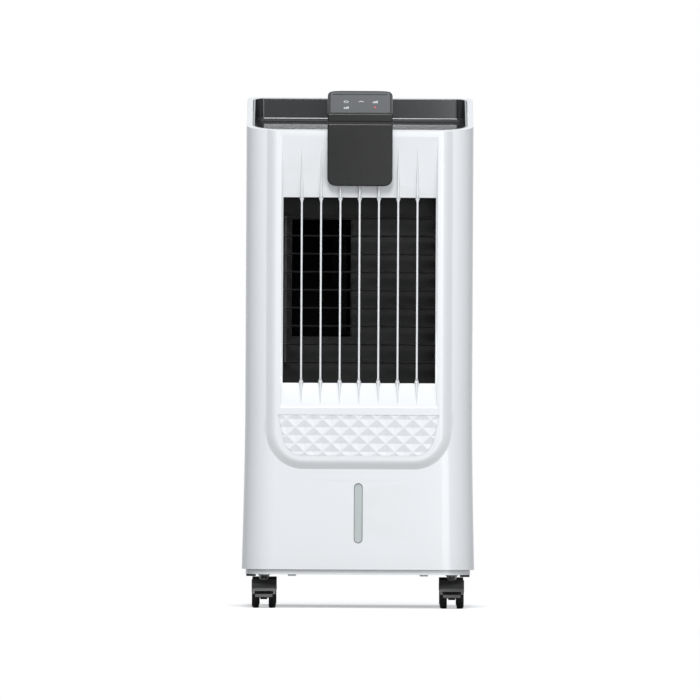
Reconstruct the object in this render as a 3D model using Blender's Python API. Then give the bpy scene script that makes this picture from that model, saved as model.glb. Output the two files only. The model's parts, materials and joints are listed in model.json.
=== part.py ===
"""Portable evaporative cooler on casters. Metres, +Z up, front towards -Y, standing on z = 0."""

import math

import bmesh
import bpy
from mathutils import Matrix, Vector

# Casing
BODY_WIDTH = 0.283
BODY_FRONT = -0.137
BODY_DEPTH = 0.280
RIM_FRONT = 0.595
RIM_RISE = 0.042
WALL = 0.0025
RIM_WIDTH = 0.0075
LEDGE_WIDTH = 0.010
LEDGE_THICKNESS = 0.0027
FLARE = 0.0035
FLARE_TOP = 0.245
FRONT_RADIUS = 0.040
REAR_RADIUS = 0.015
SEAM_Y = 0.020
GAP = 0.0003
RUNNING = 0.0003

# Raised front panel and its outlet
PANEL_MARGIN = 0.039
PANEL_BOTTOM = 0.185
PANEL_RAISE = 0.007
PANEL_FILLET = 0.0155
PANEL_RADIUS = 0.034
OUTLET_MARGIN = 0.0465
OUTLET_BOTTOM = 0.2805
OUTLET_BELOW_RIM = 0.0833
RECESS_DEPTH = 0.014
RECESS_ABOVE = 0.0753
RECESS_BELOW = 0.0305
FIN_ABOVE = 0.061
FIN_BELOW = 0.0255
FIN_WIDTH = 0.0044
FIN_HEIGHT = 0.0045
TRIM_BELOW = 0.005
TRIM_HEIGHT = 0.051
TRIM_THICKNESS = 0.002
TRIM_SIDE = 0.002
TRIM_TAPER = 0.006
TRIM_RADIUS = 0.026
WINDOW_LIFT = 0.011
WINDOW_HEIGHT = 0.075
WINDOW_WIDTH = 0.011

# Top tray and control head
TRAY_DEPTH = 0.0285
TRAY_FRONT_RADIUS = 0.036
TRAY_REAR_RADIUS = 0.014
HEAD_WIDTH = 0.081
HEAD_LENGTH = 0.056
HEAD_STEP = 0.021
HEAD_RISE = 0.029
PLATE_THICKNESS = 0.0057
PLATE_DROP = 0.069
PLATE_RADIUS = 0.010
OVERLAY_THICKNESS = 0.0012

# Louvres
VANE_COUNT = 7
VANE_MARGIN = 0.023
VANE_AXIS_Y = -0.135
VANE_CHORD = 0.017
VANE_THICKNESS = 0.0024
VANE_CRANK = 0.017
BLADE_COUNT = 9
BLADE_MARGIN = 0.0257
BLADE_AXIS_Y = -0.098
BLADE_CHORD = 0.020
BLADE_THICKNESS = 0.0025
BLADE_CRANK = 0.014
PIN_RADIUS = 0.001
DUCT_FRONT = -0.1272
DUCT_BACK = -0.072

# Blower
WHEEL_X = 0.020
WHEEL_Y = 0.0
IMPELLER_RADIUS = 0.055
IMPELLER_BLADES = 14
SCROLL_START = 0.062
SCROLL_REACH = 0.106
OUTLET_WIDTH_SCROLL = 0.077
SCROLL_BOTTOM = 0.336
SCROLL_HEIGHT = 0.150
SHAFT_RADIUS = 0.004
MOTOR_RADIUS = 0.038
MOTOR_HEIGHT = 0.048
SWING_MOTOR_RADIUS = 0.016
SWING_MOTOR_HEIGHT = 0.018

# Cooling pad, water tank and rear grille
PAD_FRAME_MARGIN = 0.0335
PAD_FRAME_BOTTOM = 0.182
PAD_FRAME_WALL = 0.003
PAD_INSET = 0.045
PAD_THICKNESS = 0.034
PAD_BELOW_RIM = 0.037
TROUGH_DEPTH = 0.014
GRILLE_BOTTOM = 0.196
GRILLE_BELOW_RIM = 0.047
GRILLE_SLATS = 12
TANK_LIFT = 0.004
TANK_HEIGHT = 0.098
TANK_MARGIN = 0.0165
TANK_WALL = 0.0025
GRIP_WIDTH = 0.090
GRIP_HEIGHT = 0.040
GRIP_DEPTH = 0.019
LATCH_LENGTH = 0.036
LATCH_WIDTH = 0.010
LATCH_THICKNESS = 0.0067
LATCH_BOSS_RADIUS = 0.006
HOSE_RADIUS = 0.0045
HOSE_CLEARANCE = 0.0025
PUMP_RADIUS = 0.016

# Base and casters
BASE_THICKNESS = 0.006
BASE_INSET = 0.005
SOCKET_RADIUS = 0.009
SOCKET_HEIGHT = 0.018
CASTER_SIDE = 0.0245
CASTER_FRONT = 0.030
CASTER_REAR = 0.035
CASTER_WHEEL_RADIUS = 0.016
CASTER_WHEEL_WIDTH = 0.009
CASTER_GAP = 0.012
CASTER_TRAIL = 0.014
STEM_RADIUS = 0.004
AXLE_RADIUS = 0.0025
FENDER_CLEARANCE = 0.0015
FENDER_THICKNESS = 0.0025
COLLAR_HEIGHT = 0.006
COLLAR_RADIUS = 0.0069
SEAT_RADIUS = 0.0078
SEAT_HEIGHT = 0.0012

BODY_REAR = BODY_FRONT + BODY_DEPTH
HALF_WIDTH = BODY_WIDTH / 2
RIM_SLOPE = RIM_RISE / BODY_DEPTH
PANEL_HALF = HALF_WIDTH - PANEL_MARGIN
PANEL_Y = BODY_FRONT - PANEL_RAISE
OUTLET_HALF = HALF_WIDTH - OUTLET_MARGIN
OUTLET_TOP = RIM_FRONT - OUTLET_BELOW_RIM
RECESS_Y = PANEL_Y + RECESS_DEPTH
PANEL_BACK = BODY_FRONT + 0.0065
PAD_FRONT_Y = BODY_REAR - PAD_INSET
HOOD_TOP = CASTER_WHEEL_RADIUS * 2 + FENDER_CLEARANCE + FENDER_THICKNESS
BASE_BOTTOM = HOOD_TOP + COLLAR_HEIGHT
BASE_TOP = BASE_BOTTOM + BASE_THICKNESS
SHELL_BOTTOM = BASE_TOP + GAP
TANK_BOTTOM = BASE_TOP + SOCKET_HEIGHT + TANK_LIFT
WINDOW_BOTTOM = TANK_BOTTOM + WINDOW_LIFT
WINDOW_TOP = WINDOW_BOTTOM + WINDOW_HEIGHT
FAR = 0.2


def rim_height(y):
    """Height of the sloping top rim at a depth y."""
    return RIM_FRONT + (y - BODY_FRONT) * RIM_SLOPE


def flare(z):
    """Outward spread of the lower casing at a height z."""
    drop = max(0.0, FLARE_TOP - z) / (FLARE_TOP - SHELL_BOTTOM)
    return FLARE * drop**1.5


def material(name, colour, roughness, metallic=0.0):
    made = bpy.data.materials.new(name)
    made.use_nodes = True
    made.diffuse_color = (*colour, 1.0)
    shader = made.node_tree.nodes["Principled BSDF"]
    shader.inputs["Base Color"].default_value = (*colour, 1.0)
    shader.inputs["Roughness"].default_value = roughness
    shader.inputs["Metallic"].default_value = metallic
    return made


def add_object(name, mesh_builder):
    mesh = bpy.data.meshes.new(name)
    bmesh.ops.recalc_face_normals(mesh_builder, faces=mesh_builder.faces)
    mesh_builder.to_mesh(mesh)
    mesh_builder.free()
    obj = bpy.data.objects.new(name, mesh)
    bpy.context.scene.collection.objects.link(obj)
    return obj


def loft(name, rings, closed=False):
    """Solid through rings of equally many points, capped at its ends or closed into a loop."""
    builder = bmesh.new()
    rows = [[builder.verts.new(point) for point in ring] for ring in rings]
    pairs = list(zip(rows, rows[1:]))
    if closed:
        pairs.append((rows[-1], rows[0]))
    else:
        builder.faces.new(rows[0])
        builder.faces.new(rows[-1])
    for low, high in pairs:
        for index in range(len(low)):
            following = (index + 1) % len(low)
            builder.faces.new((low[index], low[following], high[following], high[index]))
    return add_object(name, builder)


def prism(name, outline, low, high, axis="Z"):
    """Solid between two planes across an axis; the outline's pair of values follows the other two axes."""
    place = {
        "X": lambda a, b, level: (level, a, b),
        "Y": lambda a, b, level: (a, level, b),
        "Z": lambda a, b, level: (a, b, level),
    }[axis]
    return loft(name, [[place(a, b, level) for a, b in outline] for level in (low, high)])


def box(name, x, y, z):
    return prism(name, [(x[0], y[0]), (x[1], y[0]), (x[1], y[1]), (x[0], y[1])], z[0], z[1])


def arc(centre, radius, start, end, steps):
    """Points along an arc, its angles in degrees from the first axis."""
    angles = [math.radians(start + (end - start) * step / steps) for step in range(steps + 1)]
    return [(centre[0] + radius * math.cos(a), centre[1] + radius * math.sin(a)) for a in angles]


def rounded(low, high, radii, steps=5):
    """Outline of a rectangle with a radius for its low corners and one for its high corners."""
    below, above = radii
    return (
        arc((low[0] + below, low[1] + below), below, 180, 270, steps)
        + arc((high[0] - below, low[1] + below), below, 270, 360, steps)
        + arc((high[0] - above, high[1] - above), above, 0, 90, steps)
        + arc((low[0] + above, high[1] - above), above, 90, 180, steps)
    )


def turned(name, profile, centre=(0.0, 0.0, 0.0), axis="Z", sides=32, closed=False):
    """Solid turned from (radius, height) pairs about an axis through the centre."""
    turn = {"X": Matrix.Rotation(math.pi / 2, 4, "Y"), "Y": Matrix.Rotation(-math.pi / 2, 4, "X")}
    matrix = Matrix.Translation(centre) @ turn.get(axis, Matrix.Identity(4))
    rings = []
    for radius, height in profile:
        circle = arc((0.0, 0.0), radius, 0, 360 * (1 - 1 / sides), sides - 1)
        rings.append([matrix @ Vector((a, b, height)) for a, b in circle])
    return loft(name, rings, closed)


def rod(name, radius, low, high, centre=(0.0, 0.0, 0.0), axis="Z", sides=16):
    return turned(name, [(radius, low), (radius, high)], centre, axis, sides)


def combine(target, tools, operation):
    """Cuts the tools from the target, or joins them to it, one after another."""
    for tool in tools:
        modifier = target.modifiers.new(operation.title(), "BOOLEAN")
        modifier.operation = operation
        modifier.solver = "EXACT"
        modifier.object = tool
        graph = bpy.context.evaluated_depsgraph_get()
        mesh = bpy.data.meshes.new_from_object(target.evaluated_get(graph))
        target.modifiers.clear()
        target.data = mesh
        bpy.data.objects.remove(tool)
    return target


def cut(target, *tools):
    return combine(target, tools, "DIFFERENCE")


def join(target, *tools):
    return combine(target, tools, "UNION")


def finish(obj, surface, origin=(0.0, 0.0, 0.0), smooth_angle=30):
    """Gives a piece its material, smooth shading and an origin on its own axis."""
    obj.data.materials.clear()
    obj.data.materials.append(surface)
    obj.data.transform(Matrix.Translation(-Vector(origin)))
    obj.location = origin
    obj.data.shade_smooth()
    obj.data.set_sharp_from_angle(angle=math.radians(smooth_angle))
    return obj


def copy_piece(source, name, origin, matrix=None):
    """Another object of the same piece, turned or mirrored in its own mesh when a matrix is given."""
    made = source.copy()
    made.name = name
    made.location = origin
    if matrix is not None:
        made.data = source.data.copy()
        made.data.transform(matrix)
        if matrix.determinant() < 0:
            made.data.flip_normals()
    bpy.context.scene.collection.objects.link(made)
    return made


def casing_ring(inset, z, top_offset=None):
    """Plan outline of the casing at a height, or on a plane parallel to the rim."""
    spread = 0.0 if top_offset is not None else flare(z)
    half = HALF_WIDTH + spread - inset
    low = (-half, BODY_FRONT - spread + inset)
    high = (half, BODY_REAR - inset)
    outline = rounded(low, high, (FRONT_RADIUS - inset, REAR_RADIUS - inset), 6)
    if top_offset is None:
        return [(x, y, z) for x, y in outline]
    return [(x, y, rim_height(y) + top_offset) for x, y in outline]


def casing_solid(name, inset, bottom, top_offset):
    """Solid inside the casing's outline from a level floor up to a plane parallel to the rim."""
    levels = [bottom + (FLARE_TOP - bottom) * step / 5 for step in range(6)]
    rings = [casing_ring(inset, z) for z in levels]
    return loft(name, rings + [casing_ring(inset, 0.0, top_offset)])


def casing():
    """Hollow casing with a ledge inside its top rim and a flange round its bottom."""
    ledge_top = -TRAY_DEPTH - WALL - GAP
    ledge_bottom = ledge_top - LEDGE_THICKNESS
    body = casing_solid("casing", 0.0, SHELL_BOTTOM, 0.0)
    cavity = casing_solid("cavity", WALL, SHELL_BOTTOM + WALL, ledge_bottom)
    throat = casing_solid("throat", LEDGE_WIDTH, SHELL_BOTTOM - WALL, FAR)
    return cut(body, cavity, throat, tray_solid("seat", 0.0, ledge_top, FAR))


def tray_solid(name, inset, bottom_offset, top_offset):
    """Solid inside the rim, between two planes parallel to it."""
    edge = RIM_WIDTH + inset
    low = (-HALF_WIDTH + edge, BODY_FRONT + edge)
    high = (HALF_WIDTH - edge, BODY_REAR - edge)
    outline = rounded(low, high, (TRAY_FRONT_RADIUS - inset, TRAY_REAR_RADIUS - inset), 6)
    return loft(
        name,
        [[(x, y, rim_height(y) + offset) for x, y in outline] for offset in (bottom_offset, top_offset)],
    )


def panel_outline(spread, top):
    """U outline of the raised panel, wider than its crest by the spread."""
    half = PANEL_HALF + spread
    bottom = PANEL_BOTTOM - spread
    radius = PANEL_RADIUS + spread
    return (
        arc((-half + radius, bottom + radius), radius, 180, 270, 8)
        + arc((half - radius, bottom + radius), radius, 270, 360, 8)
        + [(half, top), (-half, top)]
    )


def front_y(x):
    """Depth of the casing's front, which falls back round its corners."""
    beyond = max(0.0, abs(x) - HALF_WIDTH + FRONT_RADIUS)
    return BODY_FRONT + FRONT_RADIUS - math.sqrt(FRONT_RADIUS ** 2 - beyond ** 2) + GAP


def raised_panel():
    """U panel that stands proud of the front, with a soft edge."""
    top = RIM_FRONT + FAR
    rings = [[(x, PANEL_BACK, z) for x, z in panel_outline(PANEL_FILLET, top)]]
    for spread, lift in ((1.0, 0.0), (0.7, 0.18), (0.3, 0.82), (0.0, 1.0)):
        outline = panel_outline(spread * PANEL_FILLET, top)
        rings.append([(x, front_y(x) + lift * (PANEL_Y - front_y(x)), z) for x, z in outline])
    panel = loft("panel", rings)
    above = [(-FAR, rim_height(-FAR)), (FAR, rim_height(FAR)), (FAR, RIM_FRONT + 2 * FAR)]
    above.append((-FAR, RIM_FRONT + 2 * FAR))
    return cut(panel, prism("above_rim", above, -FAR, FAR, "X"))


def recess_slope(z):
    """Depth of the recess surface above and below the outlet."""
    if z > OUTLET_TOP:
        return RECESS_Y - RECESS_DEPTH * (z - OUTLET_TOP) / RECESS_ABOVE
    return RECESS_Y - RECESS_DEPTH * (OUTLET_BOTTOM - z) / RECESS_BELOW


def fin(x, root, tip):
    """Tapered fin on the recess, from its tip to the pivot at the outlet's edge."""
    rings = []
    root_half, tip_half = FIN_WIDTH / 2, 0.0006
    tip_front = recess_slope(tip) - GAP
    for z, half, front in ((root, root_half, VANE_AXIS_Y - FIN_HEIGHT), (tip, tip_half, tip_front)):
        back = RECESS_Y + WALL / 2 if z == root else recess_slope(tip) + WALL / 2
        crest = half * 0.4
        ring = [(x - half, back, z), (x + half, back, z), (x + crest, front, z), (x - crest, front, z)]
        rings.append(ring)
    return loft("fin", rings)


def vane_positions():
    first = -OUTLET_HALF + VANE_MARGIN
    pitch = -2 * first / (VANE_COUNT - 1)
    return [first + index * pitch for index in range(VANE_COUNT)]


def blade_positions():
    first = OUTLET_TOP - BLADE_MARGIN
    pitch = (OUTLET_TOP - OUTLET_BOTTOM - 2 * BLADE_MARGIN) / (BLADE_COUNT - 1)
    return [first - index * pitch for index in range(BLADE_COUNT)]


def stadium(x, bottom, top, half, steps=6):
    return arc((x, bottom + half), half, 180, 360, steps) + arc((x, top - half), half, 0, 180, steps)


def trim_outline(clearance):
    """Outline of the patterned trim, which follows the panel's lower corners."""
    top = PANEL_BOTTOM + TRIM_BELOW + TRIM_HEIGHT - clearance
    half = PANEL_HALF - TRIM_SIDE - clearance
    low_half = half - TRIM_TAPER
    bottom = PANEL_BOTTOM + TRIM_BELOW + clearance
    radius = TRIM_RADIUS
    return (
        arc((-low_half + radius, bottom + radius), radius, 190, 270, 6)
        + arc((low_half - radius, bottom + radius), radius, 270, 350, 6)
        + [(half, top), (-half, top)]
    )


def front_shell(half_casing, surface):
    """Front shell with the raised panel, the outlet recess, its fins and the seats of trim and window."""
    side = OUTLET_HALF + 0.002
    skin = PANEL_Y + WALL
    hollow = panel_outline(-WALL, RIM_FRONT - TRAY_DEPTH - WALL)
    pan = [
        (skin - WALL / 2, OUTLET_TOP + RECESS_ABOVE + WALL),
        (RECESS_Y + WALL, OUTLET_TOP + WALL),
        (RECESS_Y + WALL, OUTLET_BOTTOM - WALL),
        (skin - WALL / 2, OUTLET_BOTTOM - RECESS_BELOW - WALL),
    ]
    recess = [
        (-FAR, OUTLET_TOP + RECESS_ABOVE),
        (PANEL_Y, OUTLET_TOP + RECESS_ABOVE),
        (RECESS_Y, OUTLET_TOP),
        (RECESS_Y, OUTLET_BOTTOM),
        (PANEL_Y, OUTLET_BOTTOM - RECESS_BELOW),
        (-FAR, OUTLET_BOTTOM - RECESS_BELOW),
    ]
    seam = box("seam", (-FAR, FAR), (SEAM_Y - GAP / 2, FAR), (0.0, 1.0))
    shell = cut(half_casing, seam)
    join(shell, raised_panel())
    cut(shell, prism("hollow", hollow, skin, PANEL_BACK + WALL, "Y"))
    join(shell, prism("pan", pan, -side - WALL, side + WALL, "X"))
    cut(shell, prism("recess", recess, -side, side, "X"))
    opening = box(
        "opening", (-OUTLET_HALF, OUTLET_HALF), (-FAR, DUCT_FRONT + GAP), (OUTLET_BOTTOM, OUTLET_TOP)
    )
    cut(shell, opening)
    for x in vane_positions():
        join(shell, fin(x, OUTLET_TOP, OUTLET_TOP + FIN_ABOVE))
        join(shell, fin(x, OUTLET_BOTTOM, OUTLET_BOTTOM - FIN_BELOW))
        for z in (OUTLET_TOP, OUTLET_BOTTOM):
            pivot = (x, VANE_AXIS_Y, z)
            cut(shell, rod("pivot_hole", PIN_RADIUS + RUNNING, -0.005, 0.005, pivot, sides=8))
    cut(shell, prism("trim_seat", trim_outline(0.0), -FAR, PANEL_Y + TRIM_THICKNESS + GAP, "Y"))
    pocket = panel_outline(-WALL / 2, OUTLET_BOTTOM - RECESS_BELOW - WALL / 2)
    backing = prism("backing", pocket, skin - GAP / 3, skin + WALL, "Y")
    join(shell, backing)
    slot = stadium(0.0, WINDOW_BOTTOM, WINDOW_TOP, WINDOW_WIDTH / 2)
    cut(shell, prism("window_slot", slot, -FAR, BODY_FRONT + 4 * WALL, "Y"))
    return finish(shell, surface)


def rear_shell(half_casing, surface):
    """Rear shell with the openings for the grille and the tank, and a cord gland."""
    seam = box("seam", (-FAR, FAR), (-FAR, SEAM_Y + GAP / 2), (0.0, 1.0))
    shell = cut(half_casing, seam)
    grille_half, grille_low, grille_high = grille_size()
    grille_hole = box(
        "grille_hole",
        (-grille_half - GAP, grille_half + GAP),
        (BODY_REAR - 2 * WALL, FAR),
        (grille_low - GAP, grille_high + GAP),
    )
    tank_half = HALF_WIDTH - TANK_MARGIN + GAP
    tank_hole = box(
        "tank_hole",
        (-tank_half, tank_half),
        (BODY_REAR - 0.004, FAR),
        (TANK_BOTTOM - GAP, TANK_BOTTOM + TANK_HEIGHT + GAP),
    )
    cut(shell, grille_hole, tank_hole)
    post = (0.0, BODY_REAR, latch_height())
    join(shell, rod("latch_boss", LATCH_BOSS_RADIUS, -0.008, 0.0, post, "Y", 20))
    cut(shell, rod("latch_hole", 0.003 + RUNNING, -0.006, 0.01, post, "Y", 16))
    gland = (-HALF_WIDTH + 0.022, BODY_REAR, latch_height())
    profile = [(0.0075, -WALL / 2), (0.0075, 0.002), (0.0058, 0.0026), (0.0050, 0.0066)]
    join(shell, turned("gland", profile, gland, "Y", 20))
    cut(shell, rod("cord_hole", 0.0032, -0.01, 0.01, gland, "Y", 12))
    return finish(shell, surface)


def top_tray(surface):
    """Shallow sloping tray that drops into the rim."""
    tray = tray_solid("top_tray", GAP, -TRAY_DEPTH - WALL, 0.0)
    recess = tray_solid("tray_recess", GAP + WALL, -TRAY_DEPTH, FAR)
    return finish(cut(tray, recess), surface)


def control_head(surface):
    """Head that hooks over the front rim: a plate hangs in front and a housing stands in the tray."""
    half = HEAD_WIDTH / 2
    front = PANEL_Y - GAP
    lip = rim_height(front + 0.001) + GAP
    step_top = RIM_FRONT + HEAD_STEP
    back = front + HEAD_LENGTH
    inner = BODY_FRONT + RIM_WIDTH + WALL + 2 * GAP
    floor = -TRAY_DEPTH + GAP
    side = [
        (front, rim_height(front) + GAP),
        (inner, rim_height(inner) + GAP),
        (inner, rim_height(inner) + floor),
        (back, rim_height(back) + floor),
        (back, step_top + HEAD_RISE - 0.002),
        (back - 0.003, step_top + HEAD_RISE),
        (front, step_top),
    ]
    head = prism("control_head", side, -half, half, "X")
    bottom = RIM_FRONT - PLATE_DROP
    ledge = RIM_FRONT + 0.008
    outline = (
        arc((-half + PLATE_RADIUS, bottom + PLATE_RADIUS), PLATE_RADIUS, 180, 270, 6)
        + arc((half - PLATE_RADIUS, bottom + PLATE_RADIUS), PLATE_RADIUS, 270, 360, 6)
        + [(half, ledge), (-half, ledge)]
    )
    plate = prism("plate", outline, front - PLATE_THICKNESS, front + GAP / 2, "Y")
    web = box("web", (-half, half), (front - 0.001, front + 0.001), (lip, ledge))
    join(head, web, plate)
    seat = overlay_matrix()
    recess = box(
        "overlay_seat",
        (-half + 0.003, half - 0.003),
        (0.0025, math.hypot(HEAD_LENGTH, HEAD_RISE) - 0.006),
        (-OVERLAY_THICKNESS - GAP, 0.02),
    )
    recess.data.transform(seat)
    return finish(cut(head, recess), surface)


def overlay_matrix():
    """Place of the head's sloping face: its origin at the face's front edge, Y up the slope."""
    tilt = math.atan2(HEAD_RISE, HEAD_LENGTH - 0.003)
    origin = Vector((0.0, PANEL_Y - GAP, RIM_FRONT + HEAD_STEP))
    return Matrix.Translation(origin) @ Matrix.Rotation(tilt, 4, "X")


def touch_overlay(surface):
    """Flat touch surface set into the head's sloping face."""
    seat = overlay_matrix()
    half = HEAD_WIDTH / 2 - 0.003 - GAP
    length = math.hypot(HEAD_LENGTH, HEAD_RISE) - 0.006
    outline = rounded((-half, 0.0025 + GAP), (half, length - GAP), (0.0015, 0.0015), 3)
    overlay = prism("touch_overlay", outline, -OVERLAY_THICKNESS, 0.0)
    overlay.data.transform(seat)
    return finish(overlay, surface)


def pattern_panel(surface):
    panel = prism("pattern_panel", trim_outline(GAP), PANEL_Y, PANEL_Y + TRIM_THICKNESS, "Y")
    return finish(panel, surface)


def level_window(surface):
    """Clear strip behind the slot, in front of the tank."""
    front = BODY_FRONT + WALL + GAP
    outline = stadium(0.0, WINDOW_BOTTOM - 0.003, WINDOW_TOP + 0.003, WINDOW_WIDTH / 2 + 0.003)
    window = prism("level_window", outline, front, front + 0.002, "Y")
    return finish(window, surface)


def duct_frame(surface):
    """Box duct that carries the blades and opens to the blower at its back."""
    inner = OUTLET_HALF + 0.0005
    outer = inner + WALL
    low, high = OUTLET_BOTTOM - 0.006, OUTLET_TOP + 0.006
    frame = box("duct_frame", (-outer, outer), (DUCT_FRONT, DUCT_BACK), (low - WALL, high + WALL))
    inside = box("inside", (-inner, inner), (-FAR, DUCT_BACK - WALL), (low, high))
    left, right = scroll_mouth()
    outlet = box(
        "outlet", (left, right), (-0.1, 0.0), (SCROLL_BOTTOM + 0.002, SCROLL_BOTTOM + SCROLL_HEIGHT - 0.002)
    )
    cut(frame, inside, outlet)
    for z in blade_positions():
        pivot = (0.0, BLADE_AXIS_Y, z)
        cut(frame, rod("pivot_holes", PIN_RADIUS + RUNNING, -FAR, FAR, pivot, "X", 8))
    return finish(frame, surface)


def vane(x, surface, name):
    """Upright swing vane with conical ends, pivot pins and a crank at its foot."""
    low, high = OUTLET_BOTTOM + 0.0058, OUTLET_TOP - 0.0058
    half = VANE_THICKNESS / 2
    front, back = VANE_AXIS_Y - 0.45 * VANE_CHORD, VANE_AXIS_Y + 0.55 * VANE_CHORD
    outline = [(x, front), (x + half, front + 0.003), (x + half * 0.6, back), (x - half * 0.6, back)]
    outline.append((x - half, front + 0.003))
    leaf = prism(name, outline, low, high)
    cone = [(PIN_RADIUS, -0.0048), (PIN_RADIUS, GAP), (0.0024, GAP), (0.0012, 0.0078)]
    top = [(radius, -height) for radius, height in cone]
    axis_low = (x, VANE_AXIS_Y, OUTLET_BOTTOM)
    axis_high = (x, VANE_AXIS_Y, OUTLET_TOP)
    join(leaf, turned("foot", cone, axis_low, sides=8), turned("head", top, axis_high, sides=8))
    crank_y = VANE_AXIS_Y + VANE_CRANK
    arm_y, arm_z = (VANE_AXIS_Y + 0.004, crank_y + 0.0016), (low - 0.0012, low + 0.0016)
    arm = box("arm", (x - 0.0011, x + 0.0011), arm_y, arm_z)
    pin = rod("crank_pin", PIN_RADIUS, link_height() - 0.001, low, (x, crank_y, 0.0), sides=8)
    join(leaf, arm, pin)
    return finish(leaf, surface, (x, VANE_AXIS_Y, OUTLET_BOTTOM))


def link_height():
    """Underside of the vane link, just above the duct's floor."""
    return OUTLET_BOTTOM - 0.0035


def vane_link(surface):
    """Bar that ties the cranks of all vanes together."""
    xs = vane_positions()
    y = VANE_AXIS_Y + VANE_CRANK
    low = link_height()
    half = 0.003
    outline = stadium(0.0, xs[0] - half, xs[-1] + half, half, 6)
    link = prism("vane_link", [(b, a + y) for a, b in outline], low, low + 0.0035)
    for x in xs:
        cut(link, rod("crank_hole", PIN_RADIUS + RUNNING, low - 0.01, low + 0.01, (x, y, 0.0), sides=8))
    return finish(link, surface, (xs[0], y, low))


def blade(z, surface, name):
    """Horizontal blade with end pins and a crank tab for its link."""
    left, right = -OUTLET_HALF + 0.0048, OUTLET_HALF - 0.0006
    half = BLADE_THICKNESS / 2
    front, back = BLADE_AXIS_Y - BLADE_CHORD / 2, BLADE_AXIS_Y + BLADE_CHORD / 2
    section = [(front, z), (front + 0.003, z - half), (back - 0.003, z - half)]
    section += [(back, z), (back - 0.003, z + half), (front + 0.003, z + half)]
    leaf = prism(name, section, left, right, "X")
    reach = OUTLET_HALF + 0.002
    crank_y = BLADE_AXIS_Y + BLADE_CRANK
    tab_y, tab_z = (back - 0.004, crank_y + 0.0016), (z - half * 0.9, z + half * 0.9)
    tab = box("tab", (left, left + 0.004), tab_y, tab_z)
    axis = (0.0, BLADE_AXIS_Y, z)
    ends = [rod("pin", PIN_RADIUS, -reach, left + 0.003, axis, "X", 8)]
    ends.append(rod("pin", PIN_RADIUS, right - 0.003, reach, axis, "X", 8))
    crank = rod("crank_pin", PIN_RADIUS * 0.85, left - 0.0032, left + 0.002, (0.0, crank_y, z), "X", 8)
    join(leaf, *ends, tab, crank)
    return finish(leaf, surface, (0.0, BLADE_AXIS_Y, z))


def blade_link(surface):
    """Upright bar that ties the blades' cranks together."""
    zs = blade_positions()
    y = BLADE_AXIS_Y + BLADE_CRANK
    low = -OUTLET_HALF + 0.0014
    outline = stadium(y, zs[-1] - 0.003, zs[0] + 0.003, 0.0024)
    link = prism("blade_link", outline, low, low + 0.0028, "X")
    for z in zs:
        place = (0.0, y, z)
        cut(link, rod("crank_hole", PIN_RADIUS * 0.85 + RUNNING, low - 0.01, low + 0.01, place, "X", 8))
    return finish(link, surface, (low, y, zs[0]))


def scroll_mouth():
    """Left and right edge of the blower's outlet."""
    left = WHEEL_X - SCROLL_REACH
    return left, left + OUTLET_WIDTH_SCROLL


def scroll_outline(inset):
    """Spiral wall round the wheel that opens into a straight mouth towards the duct."""
    left, right = scroll_mouth()
    end_radius = WHEEL_X - left
    mouth = DUCT_BACK + GAP
    start = math.degrees(math.atan2(mouth + 0.012 - WHEEL_Y, right - WHEEL_X)) % 360
    steps = 30
    points = []
    for step in range(steps + 1):
        angle = start + (540 - start) * step / steps
        radius = SCROLL_START + (end_radius - SCROLL_START) * step / steps - inset
        points.append((math.radians(angle), radius))
    spiral = [(WHEEL_X + r * math.cos(a), WHEEL_Y + r * math.sin(a)) for a, r in points]
    edge = mouth - (0.01 if inset else 0.0)
    return [(right - inset, edge), (right - inset, spiral[0][1])] + spiral + [(left + inset, edge)]


def scroll_housing(surface):
    """Blower housing with its inlet on top and the shaft hole below."""
    low, high = SCROLL_BOTTOM, SCROLL_BOTTOM + SCROLL_HEIGHT
    housing = prism("scroll_housing", scroll_outline(0.0), low, high)
    inside = prism("inside", scroll_outline(0.002), low + 0.002, high - 0.002)
    centre = (WHEEL_X, WHEEL_Y, 0.0)
    inlet = rod("inlet", IMPELLER_RADIUS - 0.006, high - 0.01, high + 0.01, centre, sides=40)
    shaft_hole = rod("shaft_hole", SHAFT_RADIUS + 0.001, low - 0.01, low + 0.01, centre)
    return finish(cut(housing, inside, inlet, shaft_hole), surface)


def blower_wheel(surface):
    """Drum of narrow blades on a back plate with its shaft."""
    low, high = SCROLL_BOTTOM + 0.005, SCROLL_BOTTOM + SCROLL_HEIGHT - 0.005
    centre = (WHEEL_X, WHEEL_Y, 0.0)
    inner = IMPELLER_RADIUS - 0.009
    ring = [(inner, low), (IMPELLER_RADIUS, low), (IMPELLER_RADIUS, high), (inner, high)]
    drum = turned("blower_wheel", ring, centre, sides=28, closed=True)
    builder = bmesh.new()
    for index in range(IMPELLER_BLADES):
        turn = Matrix.Rotation(math.tau * index / IMPELLER_BLADES, 4, "Z")
        sweep = Matrix.Rotation(math.radians(35), 4, "Z")
        size = Matrix.Diagonal((0.030, 0.0085, high - low - 0.008, 1.0))
        middle = Matrix.Translation((IMPELLER_RADIUS - 0.0045, 0.0, (low + high) / 2))
        matrix = Matrix.Translation(centre) @ turn @ middle @ sweep @ size
        bmesh.ops.create_cube(builder, size=1.0, matrix=matrix)
    cut(drum, add_object("slots", builder))
    plate = rod("back_plate", inner + 0.001, low, low + 0.002, centre, sides=28)
    shaft = rod("shaft", SHAFT_RADIUS, SCROLL_BOTTOM - 0.030, low + 0.030, centre)
    hub = turned("hub", [(0.012, low + 0.001), (0.010, low + 0.022)], centre, sides=12)
    return finish(join(drum, plate, hub, shaft), surface, (WHEEL_X, WHEEL_Y, low))


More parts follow.
